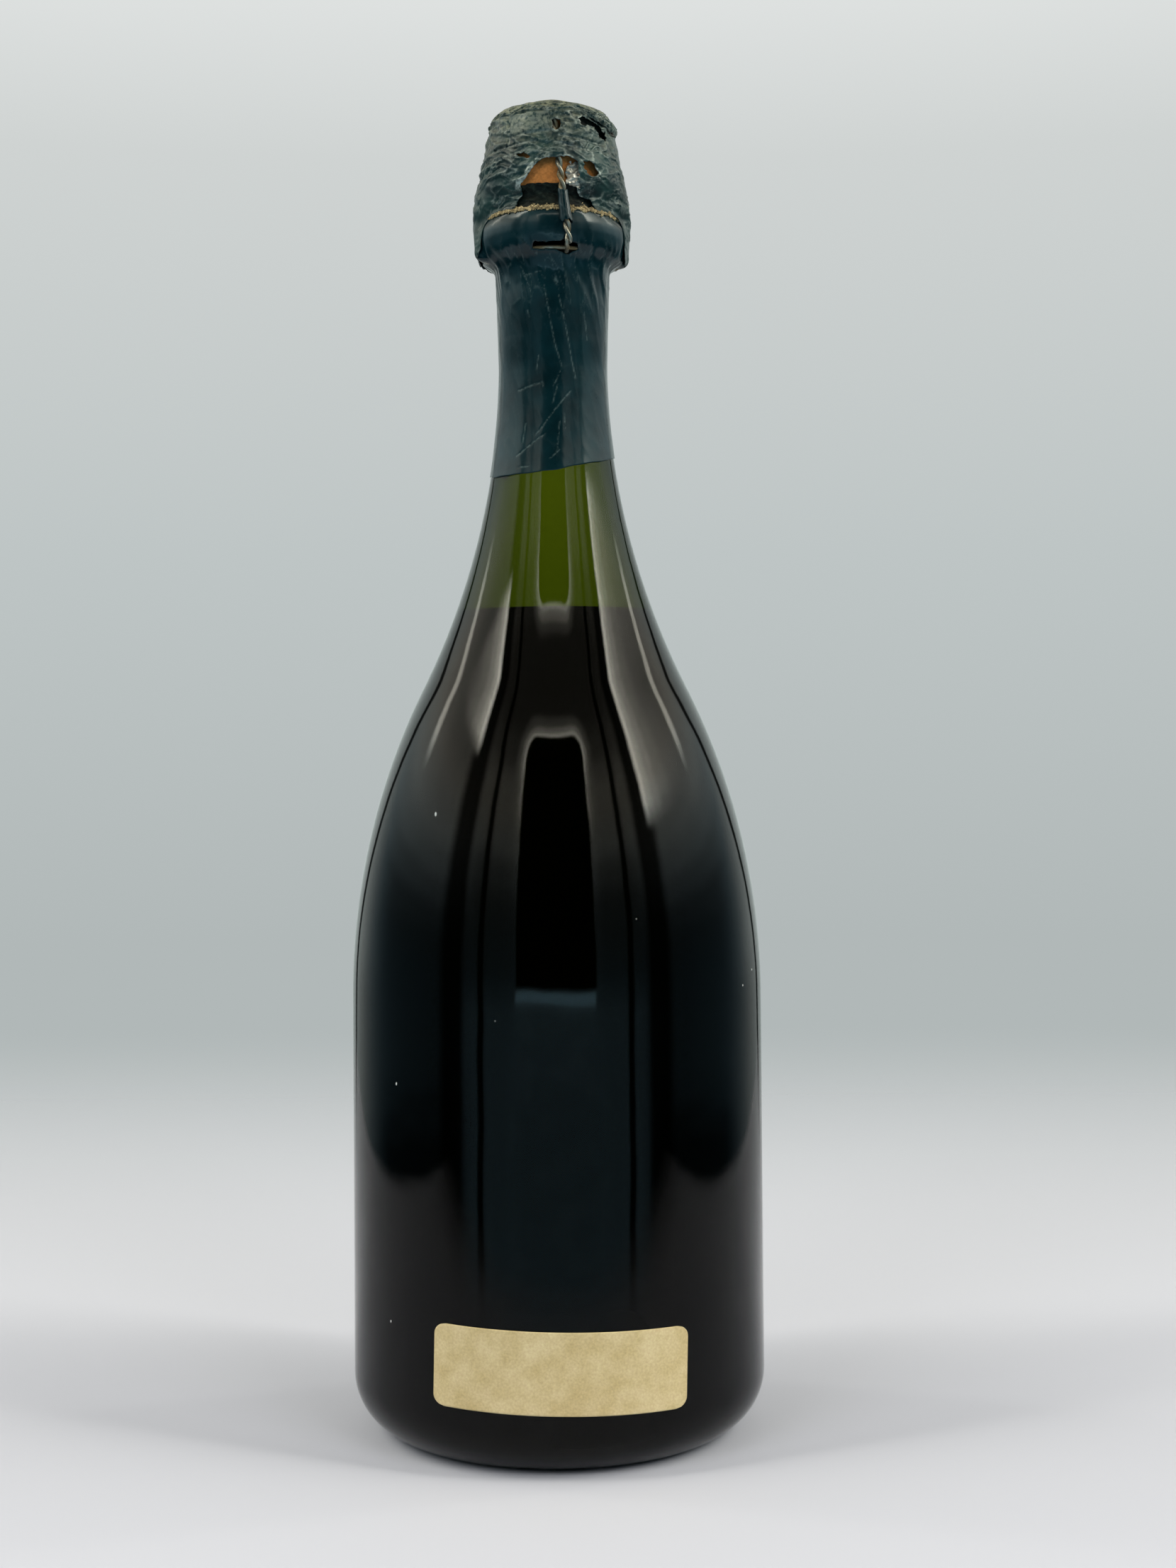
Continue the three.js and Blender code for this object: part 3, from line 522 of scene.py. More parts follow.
# %% Bottle glass, finish and piece
# Soda-lime glass coloured by iron and chrome: smooth from the fire, so it is glossy, and old handling
# leaves a faint haze. Its index starts from the usual 1.5 and is lowered to match its weak mirror.
GLASS_SEGMENTS, RIPPLE = 192, 24
bottle_green_glass, tree, shader = new_finish("bottle_green_glass")
place = add(tree, "TexCoord").outputs["Object"]
ripple = add(tree, "TexNoise", {"Vector": place, "Scale": per_metre(RIPPLE), "Detail": 2.0})
bump = add(tree, "Bump", {"Height": ripple, "Strength": 0.12, "Distance": 1 * MM})
plug(tree, shader, {"Base Color": linear("#ffffff"), "Roughness": 0.03, "IOR": 1.25, "Normal": bump})
plug(tree, shader, {"Transmission Weight": 1})
absorption = add(tree, "VolumeAbsorption", {"Color": linear("#c5cd27"), "Density": 845})
plug(tree, tree.nodes["Material Output"], {"Volume": absorption})
glass_rows = turned(glass_profile, GLASS_SEGMENTS)
make_piece("blown_bottle", glass_rows, bottle_green_glass, "bottle", "green_glass", ["bottle_glass"])

# %% [markdown]
# ## Wine
# Old sparkling wine behind dark glass shows almost black, with a sharp level line in the shoulder. Liquid
# wets the wall, so the wine runs a hair into the glass: a film of air between them would shine like silver.
# No light comes back out of such a depth of wine, so a near-black body with the weak mirror of glass
# against wine is truer here than a clear one, whose every wall would mirror again.

# %% Wine
# Aged wine in bulk: brown so deep that it looks black, and as smooth as the glass that it lies against
WET, SETTLED, WINE_CLOUD = 0.03, 0.9, 60
aged_wine, tree, shader = new_finish("aged_wine")
tone = blotched(tree, WINE_CLOUD, 2.0, (0, 1), "#030201", "#070502")[-1]
plug(tree, shader, {"Base Color": tone, "Roughness": 0.05, "IOR": 1.12})
wine_side = flank(GROOVE_TOP, WINE_LEVEL - SETTLED, BODY_WALL - WET, NECK_WALL - WET)
wine_profile = [*inner_base(-WET)[::-1], *wine_side[1:], (0, WINE_LEVEL - SETTLED)]
make_piece("filled_wine", turned(wine_profile, GLASS_SEGMENTS), aged_wine, "bottle", "wine", ["wine"])

# %% [markdown]
# ## Cork
# A champagne cork is pressed from cork grains, with two discs of whole cork glued below. The head swells
# over the lip. It is turned, then roughened by noise, and its finish draws each grain as a cell.

# %% Cork, finishes
# Cork is dry cells full of air, so it is matte and warm. Each pressed grain is a little lighter or darker
# than the next, with a line of brown glue round it. Whole cork has the same pattern, larger and paler.
GRAIN, GLUE_SHARE = 2.2, 0.06


def cork_finish(name, pale, dark, grain):
    finish, tree, shader = new_finish(name)
    cells = {"Vector": add(tree, "TexCoord").outputs["Object"], "Scale": per_metre(grain)}
    shade = add(tree, "SeparateColor", {"Color": add(tree, "TexVoronoi", cells).outputs["Color"]})
    tone = add(tree, "Mix", {"Factor": shade, "A": linear(pale), "B": linear(dark)}, data_type="RGBA")
    edge = add(tree, "TexVoronoi", cells, feature="DISTANCE_TO_EDGE")
    gap = add(tree, "MapRange", {"Value": edge, "From Max": GLUE_SHARE})
    glued = add(tree, "Mix", {"Factor": gap, "A": linear("#a66a35"), "B": tone}, data_type="RGBA")
    speck = add(tree, "TexNoise", {**cells, "Scale": per_metre(grain / 4), "Detail": 4.0})
    dusty = add(tree, "MapRange", {"Value": speck, "From Min": 0.35, "From Max": 0.7})
    shades = {"Factor": 0.2, "A": glued, "B": dusty}
    worn = add(tree, "Mix", shades, data_type="RGBA", blend_type="OVERLAY")
    bump = add(tree, "Bump", {"Height": speck, "Strength": 0.3, "Distance": 0.15 * MM})
    plug(tree, shader, {"Base Color": worn, "Normal": bump, "Roughness": 0.85, "Specular IOR Level": 0.25})
    return finish


pressed_cork = cork_finish("pressed_cork_grain", "#b97840", "#ad6e38", GRAIN)
natural_cork = cork_finish("natural_cork", "#c08b54", "#a06c3a", 3 * GRAIN)
print("cork grain:", GRAIN, "mm")

# %% Cork, discs
CORK_GAP, GLUE_LINE, DISC_BEVEL = 0.3, 0.1, 0.3
SMALL_SEGMENTS = 96
shank = BORE_RADIUS - CORK_GAP
for name, node in (("lower_cork_disc", "cork_disc_lower"), ("upper_cork_disc", "cork_disc_upper")):
    low, high = bottom_of(node), top_of(node) + GLUE_LINE
    disc = [(0, low), (shank / 2, low), (shank - DISC_BEVEL, low), (shank, low + DISC_BEVEL)]
    disc += [(shank, high - GLUE_LINE), (shank - GLUE_LINE, high), (shank / 2, high), (0, high)]
    make_piece(name, turned(disc, SMALL_SEGMENTS), natural_cork, "cork", "natural_cork", [node])

# %% Cork, pressed body
CORK_HEAD_RADIUS, CORK_TOP_RADIUS, CORK_BULGE = 14.9, 12.2, 0.25
CORK_EDGE, EDGE_ROUND, CROWN_ROUND = LIP + 4.7, 1.2, 3.5
CROWN_CENTRE = (CORK_TOP_RADIUS - CROWN_ROUND, CORK_TOP - CROWN_ROUND)
# Steps out and up from the shank to the head, and a ring of points on the flat top
HEAD_FLARE, FLAT_TOP = ((1.2, 1.7), (3.4, 2.9)), 4
# How often the lumps come and how high they are, above the lip, sunk so that none stands proud
CORK_LUMPS, LUMPS_FROM, CORK_SUNK = ((0.45, 0.22), (1.3, 0.1)), LIP + 1, 0.22
CORK_SEGMENTS, SHANK_STEPS, HEAD_STEPS = 160, 14, 24
cork_low = bottom_of("cork_body")
head_side = []
for share in np.linspace(0, 1, HEAD_STEPS):
    radius = CORK_HEAD_RADIUS + share * (CORK_TOP_RADIUS - CORK_HEAD_RADIUS)
    radius += CORK_BULGE * math.sin(math.pi * share)
    head_side.append((radius, CORK_EDGE + share * (CROWN_CENTRE[1] - CORK_EDGE)))
cork_profile = [
    (0, cork_low),
    (shank / 2, cork_low),
    *[(shank, height) for height in np.linspace(cork_low, LIP, SHANK_STEPS)],
    *[(shank + out, LIP + up) for out, up in HEAD_FLARE],
    *arc((CORK_HEAD_RADIUS - EDGE_ROUND, CORK_EDGE), EDGE_ROUND, -QUARTER, 0, 8),
    *head_side[1:-1],
    *arc(CROWN_CENTRE, CROWN_ROUND, 0, QUARTER, 10),
    (FLAT_TOP, CORK_TOP),
    (0, CORK_TOP),
]
cork_rows = turned(cork_profile, CORK_SEGMENTS)
for row in cork_rows:
    for index, (x, y, height) in enumerate(row):
        if height > LUMPS_FROM:
            rough = sum(size * wave(x * often, y * often, height * often) for often, size in CORK_LUMPS)
            swell = 1 - (CORK_SUNK - rough) / max(FLAT_TOP, math.hypot(x, y))
            row[index] = (x * swell, y * swell, height)
make_piece("pressed_cork", cork_rows, pressed_cork, "cork", "pressed_cork", ["cork_body"])

# %% [markdown]
# ## Cap plate
# Between the cork and the cage sits a small pressed plate of tinned steel. Only a hint of it shows where
# the foil is torn, but it carries the crown of the cage, so it is turned with its raised button.

# %% Cap plate
# Steel sheet with a skin of tin, which has dulled in clouds: grey metal, here smoother, there rougher
CAP_ROUND, CAP_THICKNESS, CAP_RIM = 4.2, 0.4, math.radians(35)
BUTTON_RADIUS, BUTTON_RISE, TARNISH = 6.5, 0.5, 3
tinned_steel, tree, shader = new_finish("tinned_steel")
place = add(tree, "TexCoord").outputs["Object"]
tarnish = add(tree, "TexNoise", {"Vector": place, "Scale": per_metre(TARNISH), "Detail": 5.0})
dull = add(tree, "MapRange", {"Value": tarnish, "To Min": 0.25, "To Max": 0.6})
plug(tree, shader, {"Base Color": linear("#a59d92"), "Metallic": 1, "Roughness": dull})
cap_top = CROWN_CENTRE[1] + CAP_ROUND
cap_under = cap_top - CAP_THICKNESS
cap_profile = [
    (0, cap_under + BUTTON_RISE),
    (BUTTON_RADIUS - BUTTON_RISE, cap_under + BUTTON_RISE),
    (BUTTON_RADIUS, cap_under),
    *arc(CROWN_CENTRE, CAP_ROUND - CAP_THICKNESS, QUARTER, CAP_RIM, 12),
    *arc(CROWN_CENTRE, CAP_ROUND, CAP_RIM, QUARTER, 12),
    (BUTTON_RADIUS + CAP_THICKNESS, cap_top),
    (BUTTON_RADIUS + CAP_THICKNESS - BUTTON_RISE, cap_top + BUTTON_RISE),
    (0, cap_top + BUTTON_RISE),
]
cap_rows = turned(cap_profile, SMALL_SEGMENTS)
make_piece("pressed_cap", cap_rows, tinned_steel, "cage", "tinned_plate", ["cap_plate"])

# %% [markdown]
# ## Wire cage
# The cage is two steel wires. One is bent into a crown with four twisted legs, each with an eyelet. The
# other is the belt under the ring, with its eye folded up. A twisted pair is two strands that circle one
# middle line half a turn apart, so the route is worked out as points and drawn as a bevelled curve.

# %% Wire cage, middle lines
# How far the wires stand off ring, cork and cap, and how far they pass below the edge of the ring
LEG_STAND, STEM_STAND, CROWN_STAND, LEG_UNDER, STEM_UNDER = 1.0, 1.1, 0.65, 0.8, 1
BELT_RADIUS, BELT_HEIGHT, BELT_BEND = 14.3, RING_BOTTOM - 1.5, 1.2
CROWN_RADIUS, CROWN_BEND = 8.8, 1.2
LINE_SAMPLES, LINE_END = 240, 1e-9


def smooth_line(points, samples=LINE_SAMPLES):
    """A Catmull-Rom line through points in a plane, as arrays of radius, height and length along it."""
    knots = np.array([points[0], *points, points[-1]], float)
    knots[0] = 2 * knots[1] - knots[2]
    knots[-1] = 2 * knots[-2] - knots[-3]
    line = []
    for place in np.linspace(0, len(points) - 1 - LINE_END, samples):
        index, share = int(place), place % 1
        a, b, c, d = knots[index : index + 4]
        bend = (2 * a - 5 * b + 4 * c - d) * share**2 + (3 * b - a - 3 * c + d) * share**3
        line.append(b + 0.5 * ((c - a) * share + bend))
    line = np.array(line)
    steps = np.hypot(*np.diff(line, axis=0).T)
    return line[:, 0], line[:, 1], np.concatenate([[0], np.cumsum(steps)])


CORK_MIDDLE = ((CORK_HEAD_RADIUS + CORK_TOP_RADIUS) / 2, (CORK_EDGE + CROWN_CENTRE[1]) / 2)
over_cap = CAP_ROUND + CROWN_STAND
crown_tilt = math.acos((CROWN_RADIUS + CROWN_BEND - CROWN_CENTRE[0]) / over_cap)
leg_line = smooth_line([
    (BELT_RADIUS, BELT_HEIGHT),
    (RING_RADIUS + LEG_UNDER, RING_BOTTOM - LEG_UNDER),
    (RING_RADIUS + LEG_STAND, RING_BOTTOM + RING_LOW_ROUND),
    (RING_RADIUS + LEG_STAND, LIP - RING_TOP_ROUND),
    (CORK_HEAD_RADIUS + LEG_STAND, CORK_EDGE),
    (CORK_MIDDLE[0] + LEG_STAND, CORK_MIDDLE[1]),
    (CORK_TOP_RADIUS + LEG_STAND, CROWN_CENTRE[1]),
    *arc(CROWN_CENTRE, over_cap, CAP_RIM, crown_tilt, 4),
])
eye_line = smooth_line([
    (BELT_RADIUS + BELT_BEND, BELT_HEIGHT),
    (RING_RADIUS + STEM_UNDER, RING_BOTTOM - STEM_UNDER),
    (RING_RADIUS + STEM_STAND, RING_BOTTOM + RING_LOW_ROUND),
    (RING_RADIUS + STEM_STAND, LIP - RING_TOP_ROUND),
    (CORK_HEAD_RADIUS + STEM_STAND, CORK_EDGE),
    (CORK_TOP_RADIUS + STEM_STAND, CROWN_CENTRE[1]),
])
CROWN_HEIGHT = leg_line[1][-1]
print(f"leg {leg_line[2][-1]:.1f} mm long, crown at {CROWN_HEIGHT:.1f} mm")

# %% Wire cage, strands of the legs
PAIR_OFFSET, EYELET_OFFSET, EYELET_BLEND = 0.43, 0.85, 3
LEG_COUNT, LEG_TURNS, LEG_STEPS, EYELET_STEPS = 4, 5.75, 110, 14
FRONT_LEG, LEG_LEAN = math.radians(7.8), math.radians(11.8)
SLOPE_STEP = 0.2


def step_up(value, low, high):
    """0 below low, 1 above high, and a smooth step between."""
    share = min(1, max(0, (value - low) / (high - low)))
    return share * share * (3 - 2 * share)


def leg_angle(leg, height):
    rise = (height - BELT_HEIGHT) / (CROWN_HEIGHT - BELT_HEIGHT)
    return FRONT_LEG + leg * FULL_TURN / LEG_COUNT + LEG_LEAN * (0.5 - rise)


def off_line(line, along, angle_at, size, turn, ahead=0):
    """A point beside a middle line: size out from it, turned about it from the side that faces in."""
    radii, heights, lengths = line
    near = (along - SLOPE_STEP, along, along + SLOPE_STEP)
    out, up = np.interp(near, lengths, radii), np.interp(near, lengths, heights)
    slope = np.array([out[2] - out[0], up[2] - up[0]])
    slope = slope / np.hypot(*slope)
    inward = size * math.cos(turn)
    angle = angle_at(up[1])
    aside = Vector(spot(1, angle + QUARTER, 0)) * size * math.sin(turn)
    radius = out[1] - inward * slope[1] - ahead * slope[0]
    return Vector(spot(radius, angle, up[1] + inward * slope[0] - ahead * slope[1])) + aside


def leg_strand(leg, phase):
    length = leg_line[2][-1]
    strand = []
    for along in np.linspace(0, length, LEG_STEPS):
        wound = min(1, max(0, (along - EYELET_BLEND / 2) / (length - EYELET_BLEND)))
        size = EYELET_OFFSET + (PAIR_OFFSET - EYELET_OFFSET) * step_up(along, 0, EYELET_BLEND)
        turn = phase + FULL_TURN * LEG_TURNS * wound
        strand.append(off_line(leg_line, along, lambda height: leg_angle(leg, height), size, turn))
    return strand


def eyelet(leg):
    at = lambda height: leg_angle(leg, height)
    return [
        off_line(leg_line, 0, at, -EYELET_OFFSET * math.cos(turn), 0, EYELET_OFFSET * math.sin(turn))
        for turn in np.linspace(0, math.pi, EYELET_STEPS)[1:-1]
    ]


print(f"{LEG_COUNT} legs, each twisted {LEG_TURNS} times")

# %% Wire cage, path of the frame wire
BEND_STEPS, CROWN_STEPS = 6, 16


def quarter_bend(angle, side, radius, bend, offset, height):
    outward, aside = Vector(spot(1, angle, 0)), Vector(spot(1, angle + QUARTER, 0))
    made = []
    for turn in np.linspace(0, QUARTER, BEND_STEPS + 1)[1:]:
        out = radius + bend * (1 - math.sin(turn))
        beside = offset + bend * (1 - math.cos(turn))
        made.append(outward * out + aside * side * beside + Vector((0, 0, height)))
    return made


def circle(radius, offset, start, end, height, steps):
    """Points of a ring between two bends: offset is how far each bend ends to the side."""
    cut = math.atan2(offset, radius)
    turns = np.linspace(start + cut, end - cut, steps + 1)[1:-1]
    return [Vector(spot(math.hypot(radius, offset), turn, height)) for turn in turns]


frame_path = []
crown_bend = (CROWN_RADIUS, CROWN_BEND, PAIR_OFFSET, CROWN_HEIGHT)
for leg in range(LEG_COUNT):
    angle, following = leg_angle(leg, CROWN_HEIGHT), leg_angle(leg + 1, CROWN_HEIGHT)
    frame_path += quarter_bend(angle, -1, *crown_bend)[::-1]
    frame_path += leg_strand(leg, math.pi)[::-1] + eyelet(leg) + leg_strand(leg, 0)
    frame_path += quarter_bend(angle, 1, *crown_bend)
    bends = (CROWN_RADIUS, PAIR_OFFSET + CROWN_BEND)
    frame_path += circle(*bends, angle, following, CROWN_HEIGHT, CROWN_STEPS)
print("frame wire:", len(frame_path), "points")

# %% Wire cage, path of the belt wire
BELT_OFFSET, BELT_STEPS = 0.46, 120
EYE_ANGLE, EYE_STEM, EYE_TURNS, STEM_STEPS = math.radians(142.8), 9.5, 2.5, 50
EYE_LENGTH, EYE_HALF_WIDTH, EYE_FULLNESS, EYE_STEPS = 8, 3, 0.6, 20


def eye_strand(phase, side):
    at = lambda height: EYE_ANGLE
    strand = []
    for share in np.linspace(0, 1, STEM_STEPS):
        turn = phase + FULL_TURN * EYE_TURNS * share
        strand.append(off_line(eye_line, share * EYE_STEM, at, BELT_OFFSET, turn))
    for turn in np.linspace(0, math.pi, EYE_STEPS)[1:-1]:
        rise = (1 - math.cos(turn)) / 2
        beside = EYE_HALF_WIDTH * math.sin(turn) * rise**EYE_FULLNESS + BELT_OFFSET * (1 - rise)
        strand.append(off_line(eye_line, EYE_STEM + EYE_LENGTH * rise, at, side * beside, QUARTER))
    return strand


belt_bend = (BELT_RADIUS, BELT_BEND, BELT_OFFSET, BELT_HEIGHT)
belt_ends = (EYE_ANGLE, EYE_ANGLE + FULL_TURN)
belt_path = [
    *quarter_bend(EYE_ANGLE, 1, *belt_bend),
    *circle(BELT_RADIUS, BELT_OFFSET + BELT_BEND, *belt_ends, BELT_HEIGHT, BELT_STEPS),
    *quarter_bend(EYE_ANGLE, -1, *belt_bend)[::-1],
    *eye_strand(QUARTER, 1),
    *eye_strand(-QUARTER, -1)[::-1],
]
print("belt wire:", len(belt_path), "points")

# %% Wire cage, finish and pieces
# Galvanised steel wire, drawn and then aged: dull grey with tan rust in patches
FRAME_WIRE, BELT_WIRE, RUST_PATCH = 0.85, 0.9, 2.5
galvanised_wire, tree, shader = new_finish("galvanised_wire")
rust, tone = blotched(tree, RUST_PATCH, 6.0, (0.4, 0.6), "#8b8a7e", "#75664b")[1:]
dull = add(tree, "MapRange", {"Value": rust, "To Min": 0.35, "To Max": 0.7})
plug(tree, shader, {"Base Color": tone, "Metallic": 0.8, "Roughness": dull})


def draw_wire(name, path, diameter, node):
    curve = bpy.data.curves.new(name, "CURVE")
    curve.dimensions = "3D"
    curve.bevel_depth = diameter / 2 * MM
    curve.bevel_resolution = 3
    line = curve.splines.new("POLY")
    line.points.add(len(path) - 1)
    line.use_cyclic_u = True
    for point, place in zip(line.points, path):
        point.co = (*(place * MM), 1)
    line.use_smooth = True
    curve.materials.append(galvanised_wire)
    made = set_down(name, curve)
    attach(made, "cage")
    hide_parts(node)
    print(f"{name}: {len(path)} points")


draw_wire("twisted_frame_wire", frame_path, FRAME_WIRE, "cage_frame_wire")
draw_wire("belt_wire", belt_path, BELT_WIRE, "cage_belt_wire")

# %% [markdown]
# ## Foil
# The foil is thin lacquered aluminium. On the neck it is drawn tight and smooth; over the cork it has been
# handled for decades: crumpled, rubbed and torn open at the front, with loose wings over the ring. Cloth
# simulation doesn't crease like metal, so each sheet is a fine grid that is pushed along its radius by
# creased noise, and torn by dropping the faces inside ragged outlines.

# %% Foil, finishes
# Aluminium foil with a green lacquer: glossy where it is drawn tight, dull, rubbed to grey along the
# creases and dusty where crumpled. Wear and dust come painted on the meshes; the dust also paints light.
FOIL_CLOUD, FOIL_GRIT = 7, 0.8


def foil_finish(name, deep, mid, scuff, dust_and_light, rough, lacquer, mirror, metal=0.3):
    finish, tree, shader = new_finish(name)
    tone = blotched(tree, FOIL_CLOUD, 4.0, (0.35, 0.65), deep, mid)[-1]
    place = add(tree, "TexCoord").outputs["Object"]
    fine = add(tree, "TexNoise", {"Vector": place, "Scale": per_metre(FOIL_GRIT), "Detail": 6.0})
    grit = add(tree, "MapRange", {"Value": fine, "From Min": 0.36, "From Max": 0.58})
    # Wear, then dust, which on the hood also paints light
    for layer, colour in (("wear", scuff), ("dust_and_painted_light", dust_and_light)):
        amount = add(tree, "Attribute", attribute_name=layer).outputs["Fac"]
        share = add(tree, "Math", {0: amount, 1: grit}, operation="MULTIPLY")
        tone = add(tree, "Mix", {"Factor": share, "A": tone, "B": linear(colour)}, data_type="RGBA")
    gloss = add(tree, "MapRange", {"Value": fine, "To Min": rough - 0.1, "To Max": rough + 0.15})
    bump = add(tree, "Bump", {"Height": fine, "Strength": 0.2, "Distance": 0.1 * MM})
    plug(tree, shader, {"Base Color": tone, "Metallic": metal, "Roughness": gloss, "Normal": bump})
    plug(tree, shader, {"Coat Weight": lacquer, "Coat Roughness": 0.15, "Specular IOR Level": mirror})
    return finish


aged_foil = foil_finish("aged_green_foil", "#0a1d20", "#1d3836", "#97a19b", "#82846d", 0.42, 0.1, 0.25)
tight_foil = foil_finish("dark_green_foil", "#041c21", "#09282e", "#5c6d6c", "#6f6f58", 0.3, 0.45, 0.05)
# Near-black foil for the recess under the cork and behind a hole: painted shade
painted_shade_foil = foil_finish("painted_shade_foil", "#040706", "#0a110d", "#283028", "#4f4a38", 0.6, 0, 0.25)
bare_foil = foil_finish("bare_aluminium_foil", "#6f6e66", "#95948b", "#d2d0c8", "#6f6f58", 0.3, 0, 0.25, 0.7)
print("foil finishes: 4")

# %% Foil, creases
# Each set of wrinkles: its length, spacing and height in millimetres, and its slant
WRINKLES = [(9, 3, 0.46, 0.1), (6, 2, 0.36, -0.25), (3.6, 1.4, 0.28, 0.4), (1.7, 0.8, 0.17, -0.1)]
KEENNESS, CREASE_MIDDLE, SHARP_FROM = 2.6, 0.45, 0.72
# The wrinkles wander by this much over these lengths, and come and go in patches
WANDER, WANDER_ACROSS, WANDER_UP = 1.1, 5, 7
PATCH_PITCH, PATCH_START, PATCH_EDGE, LAYER_STEP = 0.37, Vector((9, 4, 0)), 0.35, 5.3


def ridge(place, keenness):
    """1 on a crease and 0 away from it: creases lie where noise crosses zero, so none is straight."""
    return 1 - min(1, keenness * abs(noise.noise(place)))


def crumple(across, up, seed):
    """Height and sharpness of crumpled foil."""
    height, sharpest = 0, 0
    bent = up + WANDER * wave(across / WANDER_ACROSS, up / WANDER_UP, seed)
    for index, (length, spacing, size, slant) in enumerate(WRINKLES):
        along, aside = across + slant * bent, bent - slant * across
        place = Vector((along / length, aside / spacing, seed + LAYER_STEP * index))
        crease = ridge(place, KEENNESS)
        strong = step_up(noise.noise(place * PATCH_PITCH + PATCH_START), -PATCH_EDGE, PATCH_EDGE)
        height += size * strong * (crease - CREASE_MIDDLE)
        sharpest = max(sharpest, step_up(crease, SHARP_FROM, 1) * strong * min(1, 2 * size + 0.3))
    return height, sharpest


# %% Foil, outlines
def from_front(angle):
    return abs(math.atan2(math.sin(angle), math.cos(angle)))


def from_line(start, end, across, height):
    """How far a point is from a straight line between two points."""
    run, climb = end[0] - start[0], end[1] - start[1]
    out, up = across - start[0], height - start[1]
    along = min(1, max(0, (out * run + up * climb) / (run * run + climb * climb)))
    return math.hypot(out - along * run, up - along * climb)


def line_share(lines, across, height):
    """How close a point is to any of some lines: 1 on a line, falling to 0 over the line's own width."""
    return max(math.exp(-((from_line(a, b, across, height) / width) ** 2)) for a, b, width in lines)


def sides(outline):
    return zip(outline, outline[1:] + outline[:1])


def edge_distance(outline, across, height):
    return min(from_line(start, end, across, height) for start, end in sides(outline))


def inside(outline, across, height):
    hit = False
    for (x1, z1), (x2, z2) in sides(outline):
        if (z1 > height) != (z2 > height) and across < (x2 - x1) * (height - z1) / (z2 - z1) + x1:
            hit = not hit
    return hit


def radius_at(line, height):
    return float(np.interp(height, line[1], line[0]))


# %% Foil over the cage
# The foil stands off a leg that lies under it, or swells at least this much, and the swell fades aside
LEG_COVER, LEG_SWELL, LEG_SPREAD, LEG_NEAR = 1.1, 0.25, 1.4, 4
CROWN_COVER, CROWN_SPREAD = 1.05, 3


def leg_offset(leg, angle, height, radius):
    """How far a point lies to the side of a leg, along the bottle's girth."""
    apart = angle - leg_angle(leg, min(height, CROWN_HEIGHT))
    return abs(radius * math.atan2(math.sin(apart), math.cos(apart)))


def leg_cover(angle, height, radius):
    """How far the foil is pushed out where a leg of the cage lies under it."""
    off = min(leg_offset(leg, angle, height, max(radius, 1)) for leg in range(LEG_COUNT))
    if off > LEG_NEAR:
        return 0
    reach = LEG_COVER**2 - (leg_line[1] - height) ** 2
    near = reach > 0
    need = float(np.max(leg_line[0][near] + np.sqrt(reach[near]))) - radius if near.any() else 0
    return max(need, LEG_SWELL) * math.exp(-((off / LEG_SPREAD) ** 2))


def crown_cover(angle, radius, height):
    """The same over the edge of the cap, where the legs run in to the crown."""
    out, up = radius - CROWN_CENTRE[0], height - CROWN_CENTRE[1]
    need = over_cap + CROWN_COVER - math.hypot(out, up)
    off = min(leg_offset(leg, angle, CROWN_HEIGHT, radius) for leg in range(LEG_COUNT))
    share = max(0, need) * math.exp(-((off / CROWN_SPREAD) ** 2)) / math.hypot(out, up)
    return radius + out * share, height + up * share


# %% Foil hood, outlines
# Radius and height up the sides, where loose wings hang over the ring, and up the front, where the foil
# is drawn in under the head of the cork
WINGS = smooth_line([
    (16.5, 265.6), (17.1, 267), (17.55, 269.4), (17.95, 272.5), (18.1, 275.1), (17.7, 280), (16.7, 284.8),
    (15.7, 289.1), (14.8, 293.6), (13.95, 297.4),
])
DRAWN_IN = smooth_line([
    (17, 266), (17.2, 268), (17.3, 270), (17.3, 271.4), (17.1, 272.6), (16.8, 273.6), (16.2, 274.7),
    (15.5, 275.8), (14.7, 277), (14.6, 278.4), (15.5, 280.2), (16.1, 282), (16.3, 284), (16.1, 286.6),
    (15.4, 289.1), (14.65, 293.6), (13.95, 297.4),
])
# Degrees from the front and height of the torn hem, and the waves that fray it: how often, seed, size
HEM = [
    (0, 275.6), (60, 275.4), (66, 274.9), (69, 273.5), (71, 271), (73, 268.2), (76, 266.7), (82, 266.2),
    (180, 266.1),
]
HEM_SKEW, HEM_WAVES = 3, ((7, 3.1, 0.5), (21, 7.7, 0.4))
# The wings stand off from this many degrees to this many, low down on the ring and above it
WINGS_LOW, WINGS_HIGH, RING_TO_CORK = np.array((70, 94)), np.array((48, 80)), (273, 278)
HOOD_SHOULDER, HOOD_TOP, CROWN_FULLNESS = 297.4, 300.85, 0.4
# A flatter patch at the upper left, with a long crease below and beside it
PATCH_ACROSS, PATCH_UP = (-9.4, -0.4), (292.2, 297.2)
LONG_CREASES = [
    ((-9.6, 292), (-0.4, 292.5), 0.35), ((-9.4, 298), (-9.6, 290), 0.3), ((-14, 289.6), (-3, 290.3), 0.3),
    ((2, 291.6), (11, 290.6), 0.3), ((1, 289.9), (9, 288.4), 0.3), ((-12.5, 287), (-6, 288.6), 0.3),
]
